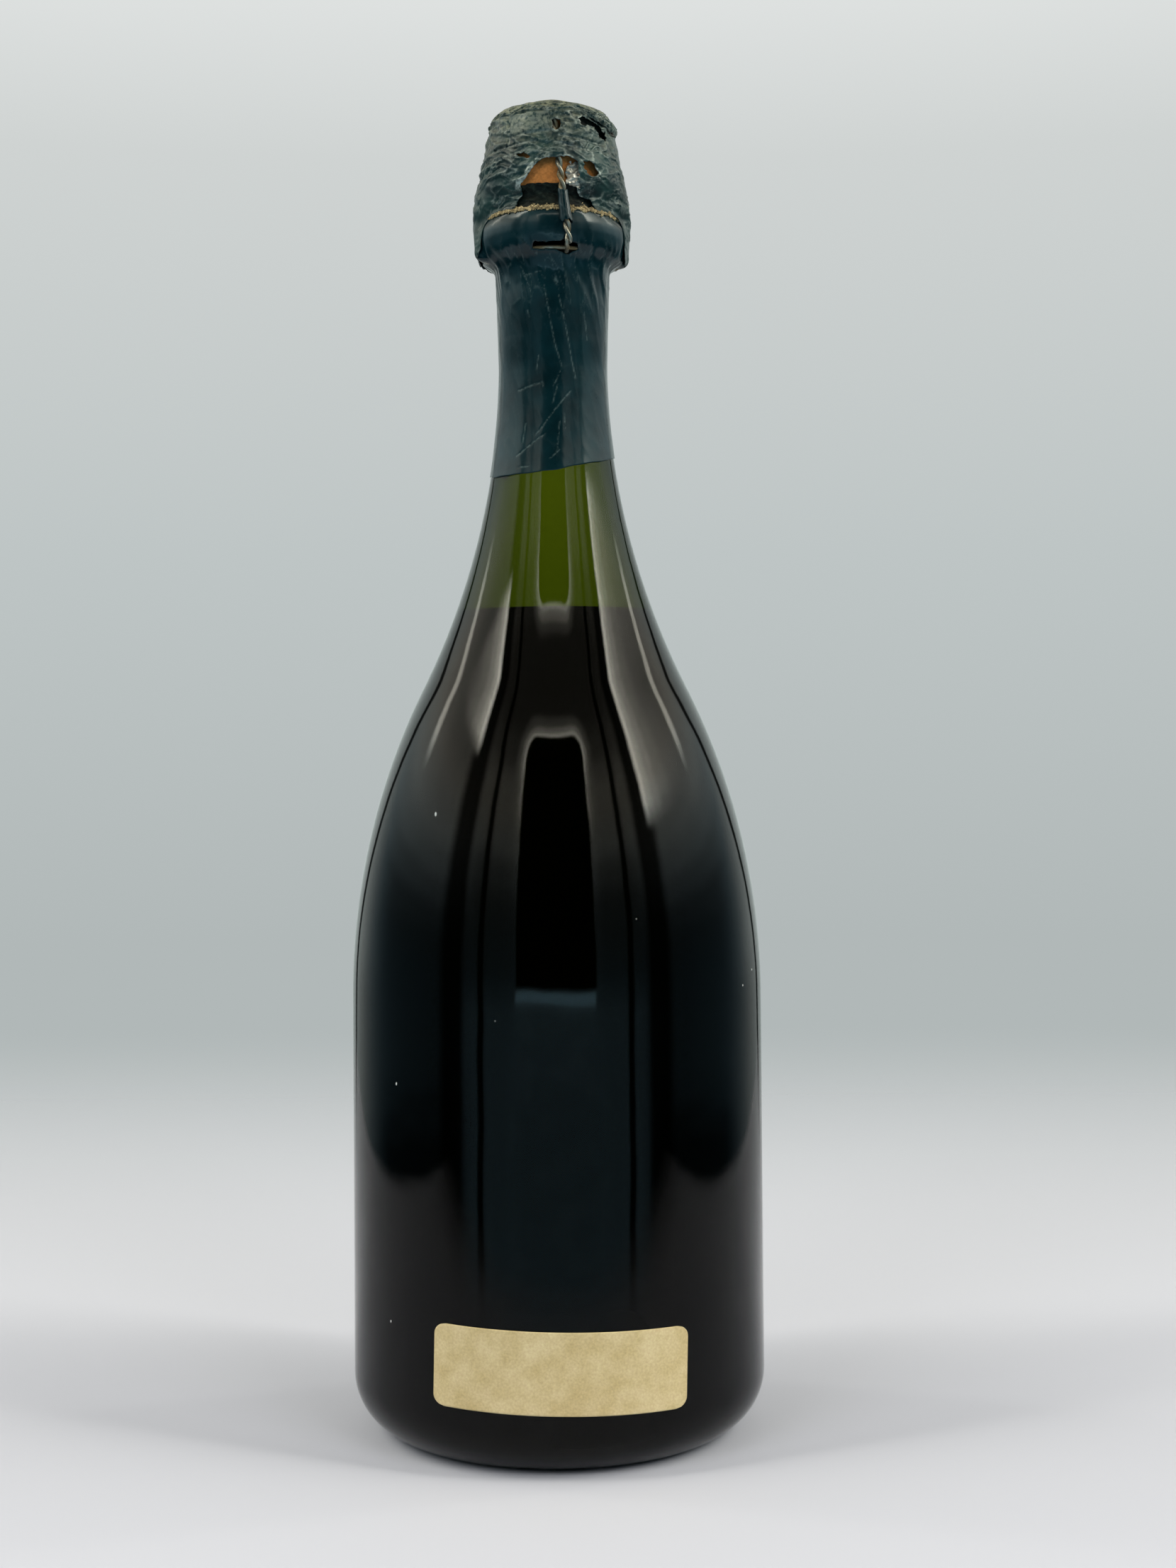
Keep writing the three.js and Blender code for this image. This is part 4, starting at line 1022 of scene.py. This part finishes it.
# The torn window over the cork and smaller holes, as x and height above the lip
TEARS = [
    [(-8.3, -3), (-8.1, -0.7), (-7.5, 0.8), (-6.1, 2.4), (-7, 3.6), (-6.9, 4.2), (-5.5, 5.3), (-4.3, 7.3),
     (-2.4, 9.1), (-0.9, 9.5), (0.9, 9.5), (2.4, 10.1), (4.2, 10.1), (5.6, 9.5), (6.4, 8.2), (6.3, 5.8),
     (5.6, 3.7), (6.4, 2.1), (8.8, 0.9), (10.1, -0.5), (11, -2.2), (11, -3)],
    [(7, 9.2), (8.2, 9.4), (9.4, 9), (10.4, 8), (11, 7.2), (10.2, 6.4), (9.2, 6.1), (8.4, 6.6), (7.6, 7.8)],
    [(-7.9, 11), (-7.2, 11.3), (-6.1, 11.3), (-4.8, 10.6), (-4.5, 9.6), (-5.2, 9.9), (-6.2, 10.2),
     (-7, 10.3)],
    [(6.3, 19.5), (7.5, 19.9), (9.6, 19.2), (11.2, 18.4), (12.2, 17), (12.6, 15.4), (11.6, 15.6),
     (10.6, 16.8), (9.2, 17.9), (7, 18)],
    [(0.2, 16.4), (0.4, 18.6), (1.5, 19.1), (2.4, 18), (2.3, 16.9), (1.4, 16)],
]
print("tears in the hood:", len(TEARS))

# %% Foil hood, shape
# How deep the crumpling goes in the flat patch and on the ring, and where it reaches its full depth
PATCH_DEPTH, RING_DEPTH, FULL_DEPTH, TOP_DEPTH = 0.25, 0.65, (270, 284), (0.5, 5)
SUNK, CREASE_DEPTH, SWAY, TOP_RELIEF = 0.1, 0.3, 0.2, 0.3
# Along a tear the lacquer has flaked off in patches, and along the window's left edge, rolled over in life,
# the foil is shown bare
FLAKED, FLAKE_EDGE, FLAKE_SIZE, FLAKE_PATCHES = 0.5, 0.4, 2.4, (-0.1, 0.35)
ROLLED, ROLL_EDGE, ROLL_SIDE, ROLL_HEIGHT = 1.3, 0.3, -2.6, (279.5, 280.5)
# Dust and painted light: how much and between which heights, most on the top, and more on the left
DUST_AND_LIGHT, LEFT_LIGHT_LEAN = ((0.75, 297.4, 299.2), (0.4, 284, 297)), 0.35
# The flat patch at the upper left is painted lighter with the scuff colour
SHARP_WEAR, CREASE_WEAR, PATCH_LIGHTER = 0.48, 0.4, 0.25


def hood_form(angle, share, crown):
    """Radius and height of the hood before it is crumpled, and how far it leans in to the top."""
    if crown:
        lean = crown * QUARTER
        radius = WINGS[0][-1] * math.cos(lean) ** CROWN_FULLNESS
        return radius, HOOD_SHOULDER + (HOOD_TOP - HOOD_SHOULDER) * math.sin(lean), lean
    degrees = math.degrees(from_front(angle)) - HEM_SKEW * math.sin(angle)
    frayed = sum(size * wave(angle * often, seed, 0) for often, seed, size in HEM_WAVES)
    low = float(np.interp(degrees, *zip(*HEM))) + frayed
    height = low + share * (HOOD_SHOULDER - low)
    spread = WINGS_LOW + step_up(height, *RING_TO_CORK) * (WINGS_HIGH - WINGS_LOW)
    drawn = radius_at(DRAWN_IN, height)
    return drawn + step_up(degrees, *spread) * (radius_at(WINGS, height) - drawn), height, 0


def flaked(across, height):
    """How bare the foil is beside the tears."""
    away = [edge_distance(outline, across, height - LIP) for outline in TEARS]
    bare = max(step_up(FLAKED - distance, 0, FLAKE_EDGE) for distance in away)
    bare *= step_up(wave(across / FLAKE_SIZE, height / FLAKE_SIZE, 3), *FLAKE_PATCHES)
    rolled = step_up(ROLLED - away[0], 0, ROLL_EDGE) * step_up(ROLL_SIDE - across, 0, 1)
    return max(bare, rolled * step_up(height, *ROLL_HEIGHT))


def hood_point(angle, share, crown):
    """A point of the hood with its wear, and its dust, which also paints light."""
    radius, height, lean = hood_form(angle, share, crown)
    across, front = radius * math.sin(angle), math.cos(angle) > 0
    in_patch = PATCH_ACROSS[0] < across < PATCH_ACROSS[1] and PATCH_UP[0] < height < PATCH_UP[1] and front
    crease = line_share(LONG_CREASES, across, height) if front else 0
    bare = flaked(across, height) if front else 0
    facets, sharp = crumple(angle * (6 + 0.6 * radius), height + 4 * math.sin(lean), 2.0)
    depth = PATCH_DEPTH if in_patch else RING_DEPTH + (1 - RING_DEPTH) * step_up(height, *FULL_DEPTH)
    depth *= step_up(radius, *TOP_DEPTH) if crown else 1
    push = (facets - SUNK) * depth - CREASE_DEPTH * crease + SWAY * wave(angle * 4, height / 9, 2)
    push += 0 if crown else leg_cover(angle, height, radius + push)
    radius = max(0, radius + push * math.cos(lean))
    height += push * TOP_RELIEF * math.sin(lean)
    if crown and radius > CROWN_CENTRE[0]:
        radius, height = crown_cover(angle, radius, height)
    wear = max(SHARP_WEAR * sharp * depth, bare, CREASE_WEAR * crease, PATCH_LIGHTER * in_patch)
    # Painted light in the dust: thicker on the top and the left, which read lighter
    dust_and_light = sum(most * step_up(height, low, high) for most, low, high in DUST_AND_LIGHT)
    dust_and_light *= (1 - LEFT_LIGHT_LEAN * math.sin(angle)) * (0.6 + 0.8 * wave(angle * 6, height, 8))
    return spot(radius, angle, height), min(1, wear), min(1, dust_and_light)


# %% Foil hood, piece
HOOD_COLUMNS, SIDE_ROWS, CROWN_ROWS = 420, 120, 40
FOIL_THICKNESS = 0.12


def not_torn(middle):
    if middle.y > 0:
        return True
    ragged = noise.noise(middle * 0.9) * 0.4 + noise.noise(middle * 2.6) * 0.25
    across, up = middle.x + ragged, middle.z - LIP + ragged
    return not any(inside(outline, across, up) for outline in TEARS)


hood_angles = np.linspace(0, FULL_TURN, HOOD_COLUMNS, endpoint=False) - math.pi
hood_steps = [(share, None) for share in np.linspace(0, 1, SIDE_ROWS)]
hood_steps += [(1, crown) for crown in np.linspace(0, 1, CROWN_ROWS)[1:]]
hood_rows = [[hood_point(angle, *step) for angle in hood_angles] for step in hood_steps]
foil_sheet = {"painted": True, "thickness": FOIL_THICKNESS}
hood_place = ("hood", "aged_foil", ["foil_hood"])
make_piece("crumpled_hood", hood_rows, aged_foil, *hood_place, keep=not_torn, **foil_sheet)

# %% [markdown]
# ## Scraps of foil
# The tear left scraps: a curled flap at the top right, a crumple of bare silver foil beside the front leg,
# near-black foil behind the holes that is painted shade, and foil still wrapped round the leg where it
# crosses the lip. Each is a small sheet with its own ragged edge, on the body that it hangs from.

# %% Scraps, flat ones
# Broad and fine creases: how often they come round the girth and up
BROAD, FINE, FINE_SHARE = (15, 1), (34, 2.2), 0.6


def scrap(name, finish, body, slot, degrees, heights, line, seed, lift, ragged=0.0, count=(48, 40)):
    """A crumpled patch over part of the girth: line gives its radius, and ragged eats its edge."""
    start, end = np.radians(degrees)
    rows = []
    for height in np.linspace(*heights, count[1]):
        row = []
        for angle in np.linspace(start, end, count[0]):
            facets, sharp = crumple(angle * BROAD[0], height * BROAD[1], seed)
            fine, keen = crumple(angle * FINE[0], height * FINE[1], seed + 1)
            radius = radius_at(line, height) + lift * (facets + FINE_SHARE * fine)
            row.append((spot(radius, angle, height), max(sharp, keen), 0))
        rows.append(row)

    def kept(middle):
        across = (2 * math.atan2(middle.x, -middle.y) - start - end) / (end - start)
        up = (2 * middle.z - sum(heights)) / (heights[1] - heights[0])
        eaten = ragged * (0.5 + noise.noise(middle * 0.7) + 0.4 * noise.noise(middle * 2.1))
        return (abs(across) ** 3 + abs(up) ** 3) ** 0.33 < 1 - eaten

    make_piece(name, rows, finish, body, slot, wrap=False, keep=kept if ragged else None, **foil_sheet)


over_cork = smooth_line([(15.35, 278.6), (15.4, 281.2), (15.1, 283.4), (14.75, 286.6)])
# Behind the hole at the top right, a near-black sheet just under the foil: painted shade
under_hole = ([13.15, 13.15], [290, 297])
scrap("silver_scrap", bare_foil, "hood", "aged_foil", (11.4, 27), (278.8, 286.4), over_cork, 4.1, 1.0, 0.35)
scrap("hole_shade_sheet", painted_shade_foil, "hood", "aged_foil", (22, 66), (290.8, 297), under_hole, 6.3, 0.12)

# %% Scraps, curled flap
# The flap curls out and down from its foot, small at one end and wide at the other
FLAP_CURL = smooth_line([(0, 0), (1, -0.1), (1.75, -0.9), (1.9, -2), (1.5, -2.9)], 30)
FLAP_FOOT, FLAP_FALL, FLAP_DEGREES, FLAP_STEPS = (13.45, 298.2), 1.2, (28, 86), 60
FLAP_OUT, FLAP_UP, FLAP_PITCH, FLAP_DUST = 0.55, 0.6, 3.5, 0.25
flap_rows = []
for share in np.linspace(0, 1, FLAP_STEPS):
    angle = math.radians(FLAP_DEGREES[0] + share * (FLAP_DEGREES[1] - FLAP_DEGREES[0]))
    size = math.sin(math.pi * (0.06 + 0.8 * share)) ** 0.5 * (0.5 + 0.75 * share)
    row = []
    for out, up in zip(FLAP_CURL[0], FLAP_CURL[1]):
        facets, sharp = crumple(angle * FINE[0], FLAP_PITCH * (out - up), 8.8)
        height = FLAP_FOOT[1] - FLAP_FALL * share + size * up + FLAP_UP * facets
        row.append((spot(FLAP_FOOT[0] + size * out + FLAP_OUT * facets, angle, height), sharp, FLAP_DUST))
    flap_rows.append(row)
make_piece("curled_flap", flap_rows, aged_foil, "hood", "aged_foil", wrap=False, **foil_sheet)

# %% Scraps, foil round the front leg
# It is wrapped round the outer side of the leg, and opens towards its lower end
WRAP_HEIGHTS, WRAP_OPEN, WRAP_STEPS = (271.8, 278.7), 2.0, (60, 30)
WRAP_SIZE, WRAP_FLARE, WRAP_CRUMPLE, WRAP_FRAY, WRAP_WEAR = 1.06, (0.12, 0.4), 0.25, 0.7, 0.6
wrap_start, wrap_end = np.interp(WRAP_HEIGHTS, leg_line[1], leg_line[2])
wrap_rows = []
for along in np.linspace(wrap_start, wrap_end, WRAP_STEPS[0]):
    lower = (wrap_end - along) / (wrap_end - wrap_start)
    row = []
    for turn in np.linspace(-WRAP_OPEN, WRAP_OPEN, WRAP_STEPS[1]) + math.pi:
        facets, sharp = crumple(turn * 1.6, along * 0.6, 3.3)
        opened = (WRAP_FLARE[0] + WRAP_FLARE[1] * lower) * ((turn - math.pi) / WRAP_OPEN) ** 2
        frayed = (1 - 2 * lower) * WRAP_FRAY * wave(turn * 1.3, 2, 7)
        size = WRAP_SIZE + opened + WRAP_CRUMPLE * facets
        point = off_line(leg_line, along + frayed, lambda height: leg_angle(0, height), size, turn)
        row.append((point, WRAP_WEAR * sharp, 0))
    wrap_rows.append(row)
make_piece("leg_wrap", wrap_rows, tight_foil, "cage", "green_foil", wrap=False, **foil_sheet)

# %% Scraps, foil under the cork, painted dark as shade
# It lies tucked in between the lip and the head of the cork, a third of the way round: near-black, it paints
# the shade of the recess
under_cork = smooth_line([
    (14.6, 275.7), (13.9, 276.6), (13.6, 277.8), (13.7, 278.9), (14.3, 279.9), (15.1, 280.8),
])
tucked = ((-48, 56), (275.6, 280.9), under_cork, 1.7, 0.5, 0.1, (130, 40))
scrap("tucked_foil", painted_shade_foil, "bottle", "green_foil", *tucked)

# %% [markdown]
# ## Foil on the neck and over the ring
# Below the hood the same foil is drawn tight: down the neck, where it ends in a slanted edge, and up over
# the glass ring, where it shows between the wings. It was smoothed by hand, so it has fine creases and a
# few scratches, and it drapes from the ring to the neck. Under the ring it is slit, and the belt wire shows
# in the slit.

# %% Neck sleeve, outlines
# Radius and height where the foil hugs the ring at the front, and where it flares out under the wings
FOIL_START = 248
RING_OVER = [
    (16.2, 268.6), (16.45, 270), (16.5, 271.2), (16.45, 272.3), (16.25, 273.4), (15.9, 274.4), (15.4, 275.2),
    (14.9, 275.75),
]
HUG = smooth_line([
    (12.62, FOIL_START), (12.8, 255), (12.95, 260), (13.1, 262.3), (13.5, 264), (14.1, 265.2), (14.9, 266.2),
    (15.7, 267.3), *RING_OVER,
])
FLARE = smooth_line([
    (12.62, FOIL_START), (12.8, 256), (12.95, 262), (13.15, 263.8), (13.9, 264.8), (15, 265.5), (15.8, 266.2),
    (16.1, 267.3), *RING_OVER,
])
SCRATCHES = [
    ((-8.2, 220.2), (-1.7, 225.1), 0.15), ((-3.7, 224.9), (0.1, 229.9), 0.15),
    ((0.1, 229.9), (4, 234.7), 0.16), ((-7.6, 235.3), (-2.3, 236.8), 0.16),
    ((-2.3, 236.8), (-2.1, 236), 0.16), ((0.6, 260.3), (1.3, 258.8), 0.35),
    ((-1.7, 258.5), (-0.3, 250.4), 0.12), ((-0.3, 250.4), (0.7, 245.1), 0.12),
    ((0.7, 245.1), (2.2, 240.3), 0.13), ((1.6, 256.2), (3.2, 248.9), 0.11),
    ((3.2, 248.9), (4.3, 242.4), 0.11), ((4.3, 242.4), (5.2, 237.8), 0.13),
    ((2, 239.5), (0.3, 235.9), 0.12), ((1.2, 236.2), (0.1, 232), 0.12),
    ((-6, 227.6), (-6.8, 223.2), 0.12), ((1.6, 227.8), (1, 220.9), 0.11),
    ((-0.5, 219.4), (1.6, 221.3), 0.13), ((-5.8, 261.1), (-2.5, 261.5), 0.11),
    ((-7, 263.1), (-4.7, 257.3), 0.12), ((-5.5, 253.1), (-5.1, 251.6), 0.13),
    ((-3.1, 242.8), (-3.5, 239.7), 0.11), ((2.6, 229.7), (2.8, 226.3), 0.11),
    ((7.3, 252.7), (7.9, 246.6), 0.11), ((-7.8, 217.7), (-5.5, 217.7), 0.12),
]
SLIT = [
    (-4.3, 266.1), (-4, 267.7), (-1, 267.3), (3, 267.8), (6.2, 267.1), (6, 266), (3.4, 265.2), (1.5, 265.9),
]
print("scratches:", len(SCRATCHES))

# %% Neck sleeve, shape
SLEEVE_EASE, START_EASE, START_FROM = 0.22, 0.2, 240
# Degrees from the front, and heights, between which the foil leaves the ring, swells and drapes
HUG_ENDS, SWELL_SIDES, SWELL_LOW, SWELL_HIGH = (58, 78), (45, 80), (265, 270), (272.5, 275)
SIDE_SWELL, LEGS_FROM, DRAPE_LOW, DRAPE_HIGH = 0.55, 60, (248, 264), (266.5, 270)
# Creases that run mostly down the neck: their depth drawn tight and draped, and the wear on them
NECK_KEENNESS, NECK_MIDDLE, NECK_SHARP, DEEPEST = 2.4, 0.4, 0.88, -0.12
TIGHT_DEPTH, DRAPE_DEPTH, TIGHT_WEAR, DRAPE_WEAR = 0.04, 0.26, 0.04, 0.25
SCRATCH_DEPTH, SCRATCH_WEAR = 0.04, 0.6


def sleeve_point(angle, height):
    """A point of the tight foil with its wear and dust."""
    degrees = math.degrees(from_front(angle))
    if height < FOIL_START:
        radius = flank_radius(height, -SLEEVE_EASE, -SLEEVE_EASE)
        radius += START_EASE * step_up(height, START_FROM, FOIL_START)
    else:
        flared = radius_at(FLARE, height)
        radius = flared + (1 - step_up(degrees, *HUG_ENDS)) * (radius_at(HUG, height) - flared)
        swell = step_up(degrees, *SWELL_SIDES) * step_up(height, *SWELL_LOW)
        radius += SIDE_SWELL * swell * (1 - step_up(height, *SWELL_HIGH))
    scratch = line_share(SCRATCHES, radius * math.sin(angle), height) if math.cos(angle) > 0 else 0
    if degrees > LEGS_FROM:
        radius += max(0, leg_cover(angle, height, radius) - LEG_SWELL)
    drape = step_up(height, *DRAPE_LOW) * (1 - step_up(height, *DRAPE_HIGH))
    place = Vector((angle * 3 + 0.06 * (height - 250), height / 15, 4))
    crease, second = ridge(place, NECK_KEENNESS), ridge(place * 2.3 + Vector((5, 1, 0)), NECK_KEENNESS)
    depth = TIGHT_DEPTH + DRAPE_DEPTH * drape
    push = depth * (crease - NECK_MIDDLE + (second - NECK_MIDDLE) / 2) - SCRATCH_DEPTH * scratch
    wear = (TIGHT_WEAR + DRAPE_WEAR * drape) * step_up(max(crease, second), NECK_SHARP, 1)
    return spot(radius + max(push, DEEPEST), angle, height), max(SCRATCH_WEAR * scratch, wear), 0


# %% Neck sleeve, piece
SLEEVE_LOW, SIDE_TILT, FRONT_TILT, LOW_WAVE = SLEEVE_TOP - 44.9, 2.1, -2.4, 0.4
LEG_SLIT, LEG_SLIT_HALF, EYE_SLIT_HALF = (BELT_HEIGHT - 1.3, RING_BOTTOM + 0.9), 0.75, 2.2
SLEEVE_COLUMNS, SLEEVE_ROWS = 300, 230


def sleeve_whole(middle):
    """The foil is slit for the belt and the front leg, and open behind, where the belt's eye comes out."""
    angle = math.atan2(middle.x, -middle.y)
    ragged = 0.2 * noise.noise(middle * 1.3)
    if middle.y < 0 and inside(SLIT, middle.x + ragged, middle.z + ragged):
        return False
    by_leg = leg_offset(0, angle, middle.z, RING_RADIUS) + 0.5 * ragged < LEG_SLIT_HALF
    by_eye = abs(angle - EYE_ANGLE) * RING_RADIUS + ragged < EYE_SLIT_HALF
    return not (LEG_SLIT[0] < middle.z < LEG_SLIT[1] and (by_leg or by_eye))


low_edge = []
for angle in np.linspace(0, FULL_TURN, SLEEVE_COLUMNS, endpoint=False) - math.pi:
    slant = SIDE_TILT * math.sin(angle) + FRONT_TILT * math.cos(angle)
    low_edge.append((angle, SLEEVE_LOW + slant + LOW_WAVE * wave(angle * 3, 0.3, 2)))
sleeve_rows = [
    [sleeve_point(angle, low + share * (RING_OVER[-1][1] - low)) for angle, low in low_edge]
    for share in np.linspace(0, 1, SLEEVE_ROWS)
]
sleeve_place = ("bottle", "green_foil", ["foil_neck_sleeve"])
make_piece("neck_sleeve", sleeve_rows, tight_foil, *sleeve_place, keep=sleeve_whole, **foil_sheet)

# %% Painted shade under the belt
# A near-black band on the glass behind the belt wire, matte: painted shade, so that the slit under the ring
# reads black
SHADE_BAND_RADIUS, SHADE_BAND_RELIEF, SHADE_BAND_THICKNESS, SHADE_BAND_GRAIN = THROAT_RADIUS + 0.15, 0.08, 0.08, 1.2
SHADE_BAND_ENDS, SHADE_BAND_ROWS, SHADE_BAND_COLUMNS = (263.4, RING_BOTTOM - 0.4), 12, 120
slit_painted_shade, tree, shader = new_finish("slit_painted_shade")
# The blotched near-black of the band is painted shade
tone = blotched(tree, SHADE_BAND_GRAIN, 5.0, (0, 1), "#050505", "#1a1410")[-1]
plug(tree, shader, {"Base Color": tone, "Roughness": 0.9})
angles = np.linspace(0, FULL_TURN, SHADE_BAND_COLUMNS, endpoint=False)
shade_band_rows = [
    [spot(SHADE_BAND_RADIUS + SHADE_BAND_RELIEF * wave(4 * angle, height, 1), angle, height) for angle in angles]
    for height in np.linspace(*SHADE_BAND_ENDS, SHADE_BAND_ROWS)
]
make_piece("slit_shade_band", shade_band_rows, slit_painted_shade, "bottle", "cage_wire", thickness=SHADE_BAND_THICKNESS)

# %% [markdown]
# ## Crust on the lip
# Where the foil ends on the lip, cork dust and dried wine have set into a fibrous tan crust. It is made as
# it is in life, from crumbs: small lumps of every size and slant, thick along the edge and thin above it,
# strewn by numbers drawn from a fixed seed.

# %% Crust, finish
# Dried cork dust: matte, tan, each crumb a little lighter or darker
CRUST_GRAIN = 0.6
dried_cork_dust, tree, shader = new_finish("dried_cork_dust")
grain, tone = blotched(tree, CRUST_GRAIN, 6.0, (0.35, 0.65), "#5a4a2f", "#bfab80")[::2]
bump = add(tree, "Bump", {"Height": grain, "Strength": 0.8, "Distance": 0.3 * MM})
plug(tree, shader, {"Base Color": tone, "Normal": bump, "Roughness": 0.9})

# %% Crust, piece
CRUMBS, CRUST_HALF, CRUST_SHIFT, CRUST_HEIGHT, SEED = 3000, math.radians(71), 0.03, 275.15, 11
CRUST_THICK, CRUST_THIN, CRUST_WAVE, CRUST_STAND, CRUST_FALL = 0.55, 0.3, 0.6, 0.1, 0.45
draw = np.random.default_rng(SEED)
pebble = bmesh.new()
bmesh.ops.create_icosphere(pebble, subdivisions=1, radius=0.7)
lump = [point.co.copy() for point in pebble.verts]
lump_faces = [[point.index for point in face.verts] for face in pebble.faces]
pebble.free()


def heap(name, poses, finish):
    """One object of lumps, each posed by a matrix in millimetres."""
    points = [pose @ point for pose in poses for point in lump]
    starts = range(0, len(points), len(lump))
    faces = [[start + corner for corner in face] for start in starts for face in lump_faces]
    print(f"{name}: {len(poses)} lumps")
    return set_down(name, new_mesh(name, points, faces, finish))


crumbs = []
for index in range(CRUMBS):
    angle = CRUST_HALF * (draw.uniform(-1, 1) + CRUST_SHIFT)
    thick = max(CRUST_THIN, CRUST_THICK + CRUST_WAVE * wave(angle * 9, 2, 5))
    up = draw.normal(0.1, 0.5) * thick
    size = draw.uniform(0.05, 0.2) * (0.6 + 0.7 * thick)
    stretch = Vector((1, 1, 1)) + Vector(draw.uniform(-0.5, 1.8, 3))
    turn = Vector(draw.uniform(-3, 3, 3))
    stand = CRUST_STAND * (1 + abs(draw.normal())) - CRUST_FALL * max(0, up - 0.6)
    radius = radius_at(HUG, CRUST_HEIGHT + up) + stand
    place = Matrix.Translation(spot(radius, angle, CRUST_HEIGHT + up))
    slant = Matrix.Rotation(turn.length, 4, turn.normalized())
    crumbs.append(place @ slant @ Matrix.Diagonal((*(stretch * size), 1)))
lip_crust = heap("lip_crust", crumbs, dried_cork_dust)
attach(lip_crust, "bottle")

# %% [markdown]
# ## Label
# A small bare paper label low on the body, yellowed and a little stained. It was glued on by hand, so it
# tilts by about a degree. It is a curved sheet with round corners, a hair off the glass.

# %% Label, finish
# Uncoated paper, yellowed and stained by damp: matte, blotched, with fine fibres
PAPER_STAIN, PAPER_FIBRE = 5, 0.5
aged_paper, tree, shader = new_finish("aged_label_paper")
tone = blotched(tree, PAPER_STAIN, 5.0, (0.3, 0.7), "#cfbd94", "#bba77a")[-1]
place = add(tree, "TexCoord").outputs["Object"]
fibre = add(tree, "TexNoise", {"Vector": place, "Scale": per_metre(PAPER_FIBRE), "Detail": 4.0})
shades = {"Factor": 0.3, "A": tone, "B": fibre}
speckled = add(tree, "Mix", shades, data_type="RGBA", blend_type="OVERLAY")
bump = add(tree, "Bump", {"Height": fibre, "Strength": 0.2, "Distance": 0.05 * MM})
plug(tree, shader, {"Base Color": speckled, "Normal": bump, "Roughness": 0.8, "Specular IOR Level": 0.2})

# %% Label, piece
LABEL_HALF_WIDTH, LABEL_HALF_HEIGHT, LABEL_CORNER = 26.9, 8.75, 2.4
LABEL_SHIFT, LABEL_CENTRE, LABEL_TILT = 0.8, 23.4, math.radians(-1.4)
LABEL_STAND, LABEL_THICKNESS, LABEL_ROWS, LABEL_COLUMNS = 0.32, 0.15, 60, 160
label_rows = []
for z in np.linspace(-1, 1, LABEL_ROWS) * LABEL_HALF_HEIGHT:
    tuck = max(0, abs(z) - LABEL_HALF_HEIGHT + LABEL_CORNER)
    narrow = LABEL_CORNER - math.sqrt(max(0, LABEL_CORNER**2 - tuck**2))
    row = []
    for x in np.linspace(-1, 1, LABEL_COLUMNS) * (LABEL_HALF_WIDTH - narrow):
        across = LABEL_SHIFT + x * math.cos(LABEL_TILT) - z * math.sin(LABEL_TILT)
        height = LABEL_CENTRE + x * math.sin(LABEL_TILT) + z * math.cos(LABEL_TILT)
        radius = flank_radius(height, -LABEL_STAND, 0)
        row.append((across, -math.sqrt(radius**2 - across**2), height))
    label_rows.append(row)
label_place = ("bottle", "aged_paper", ["back_label"])
make_piece("paper_label", label_rows, aged_paper, *label_place, wrap=False, thickness=LABEL_THICKNESS)

# %% Flecks on the glass
# White flecks on the glass, matte: x, height and size of each fleck
FLECKS = [
    (-25.4, 140.2, 0.55), (43.5, 105, 0.28), (41.1, 102, 0.28), (-34.3, 82.2, 0.4), (-36, 30.6, 0.34),
    (-12.4, 97, 0.16), (17.4, 118, 0.16),
]
FLECK_FORM = Vector((0.7, 0.6, 1.4))
white_fleck_finish, tree, shader = new_finish("white_fleck_finish")
plug(tree, shader, {"Base Color": linear("#d4d5d2"), "Roughness": 0.95})
fleck_poses = []
for x, height, size in FLECKS:
    place = Matrix.Translation((x, -math.sqrt(flank_radius(height, 0, 0) ** 2 - x**2), height))
    fleck_poses.append(place @ Matrix.Diagonal((*(FLECK_FORM * size), 1)))
flecks = heap("white_flecks", fleck_poses, white_fleck_finish)
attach(flecks, "bottle")

# %% Overall size
low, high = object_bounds()
print("visual box in mm:", [round(v / MM, 1) for v in low], [round(v / MM, 1) for v in high])
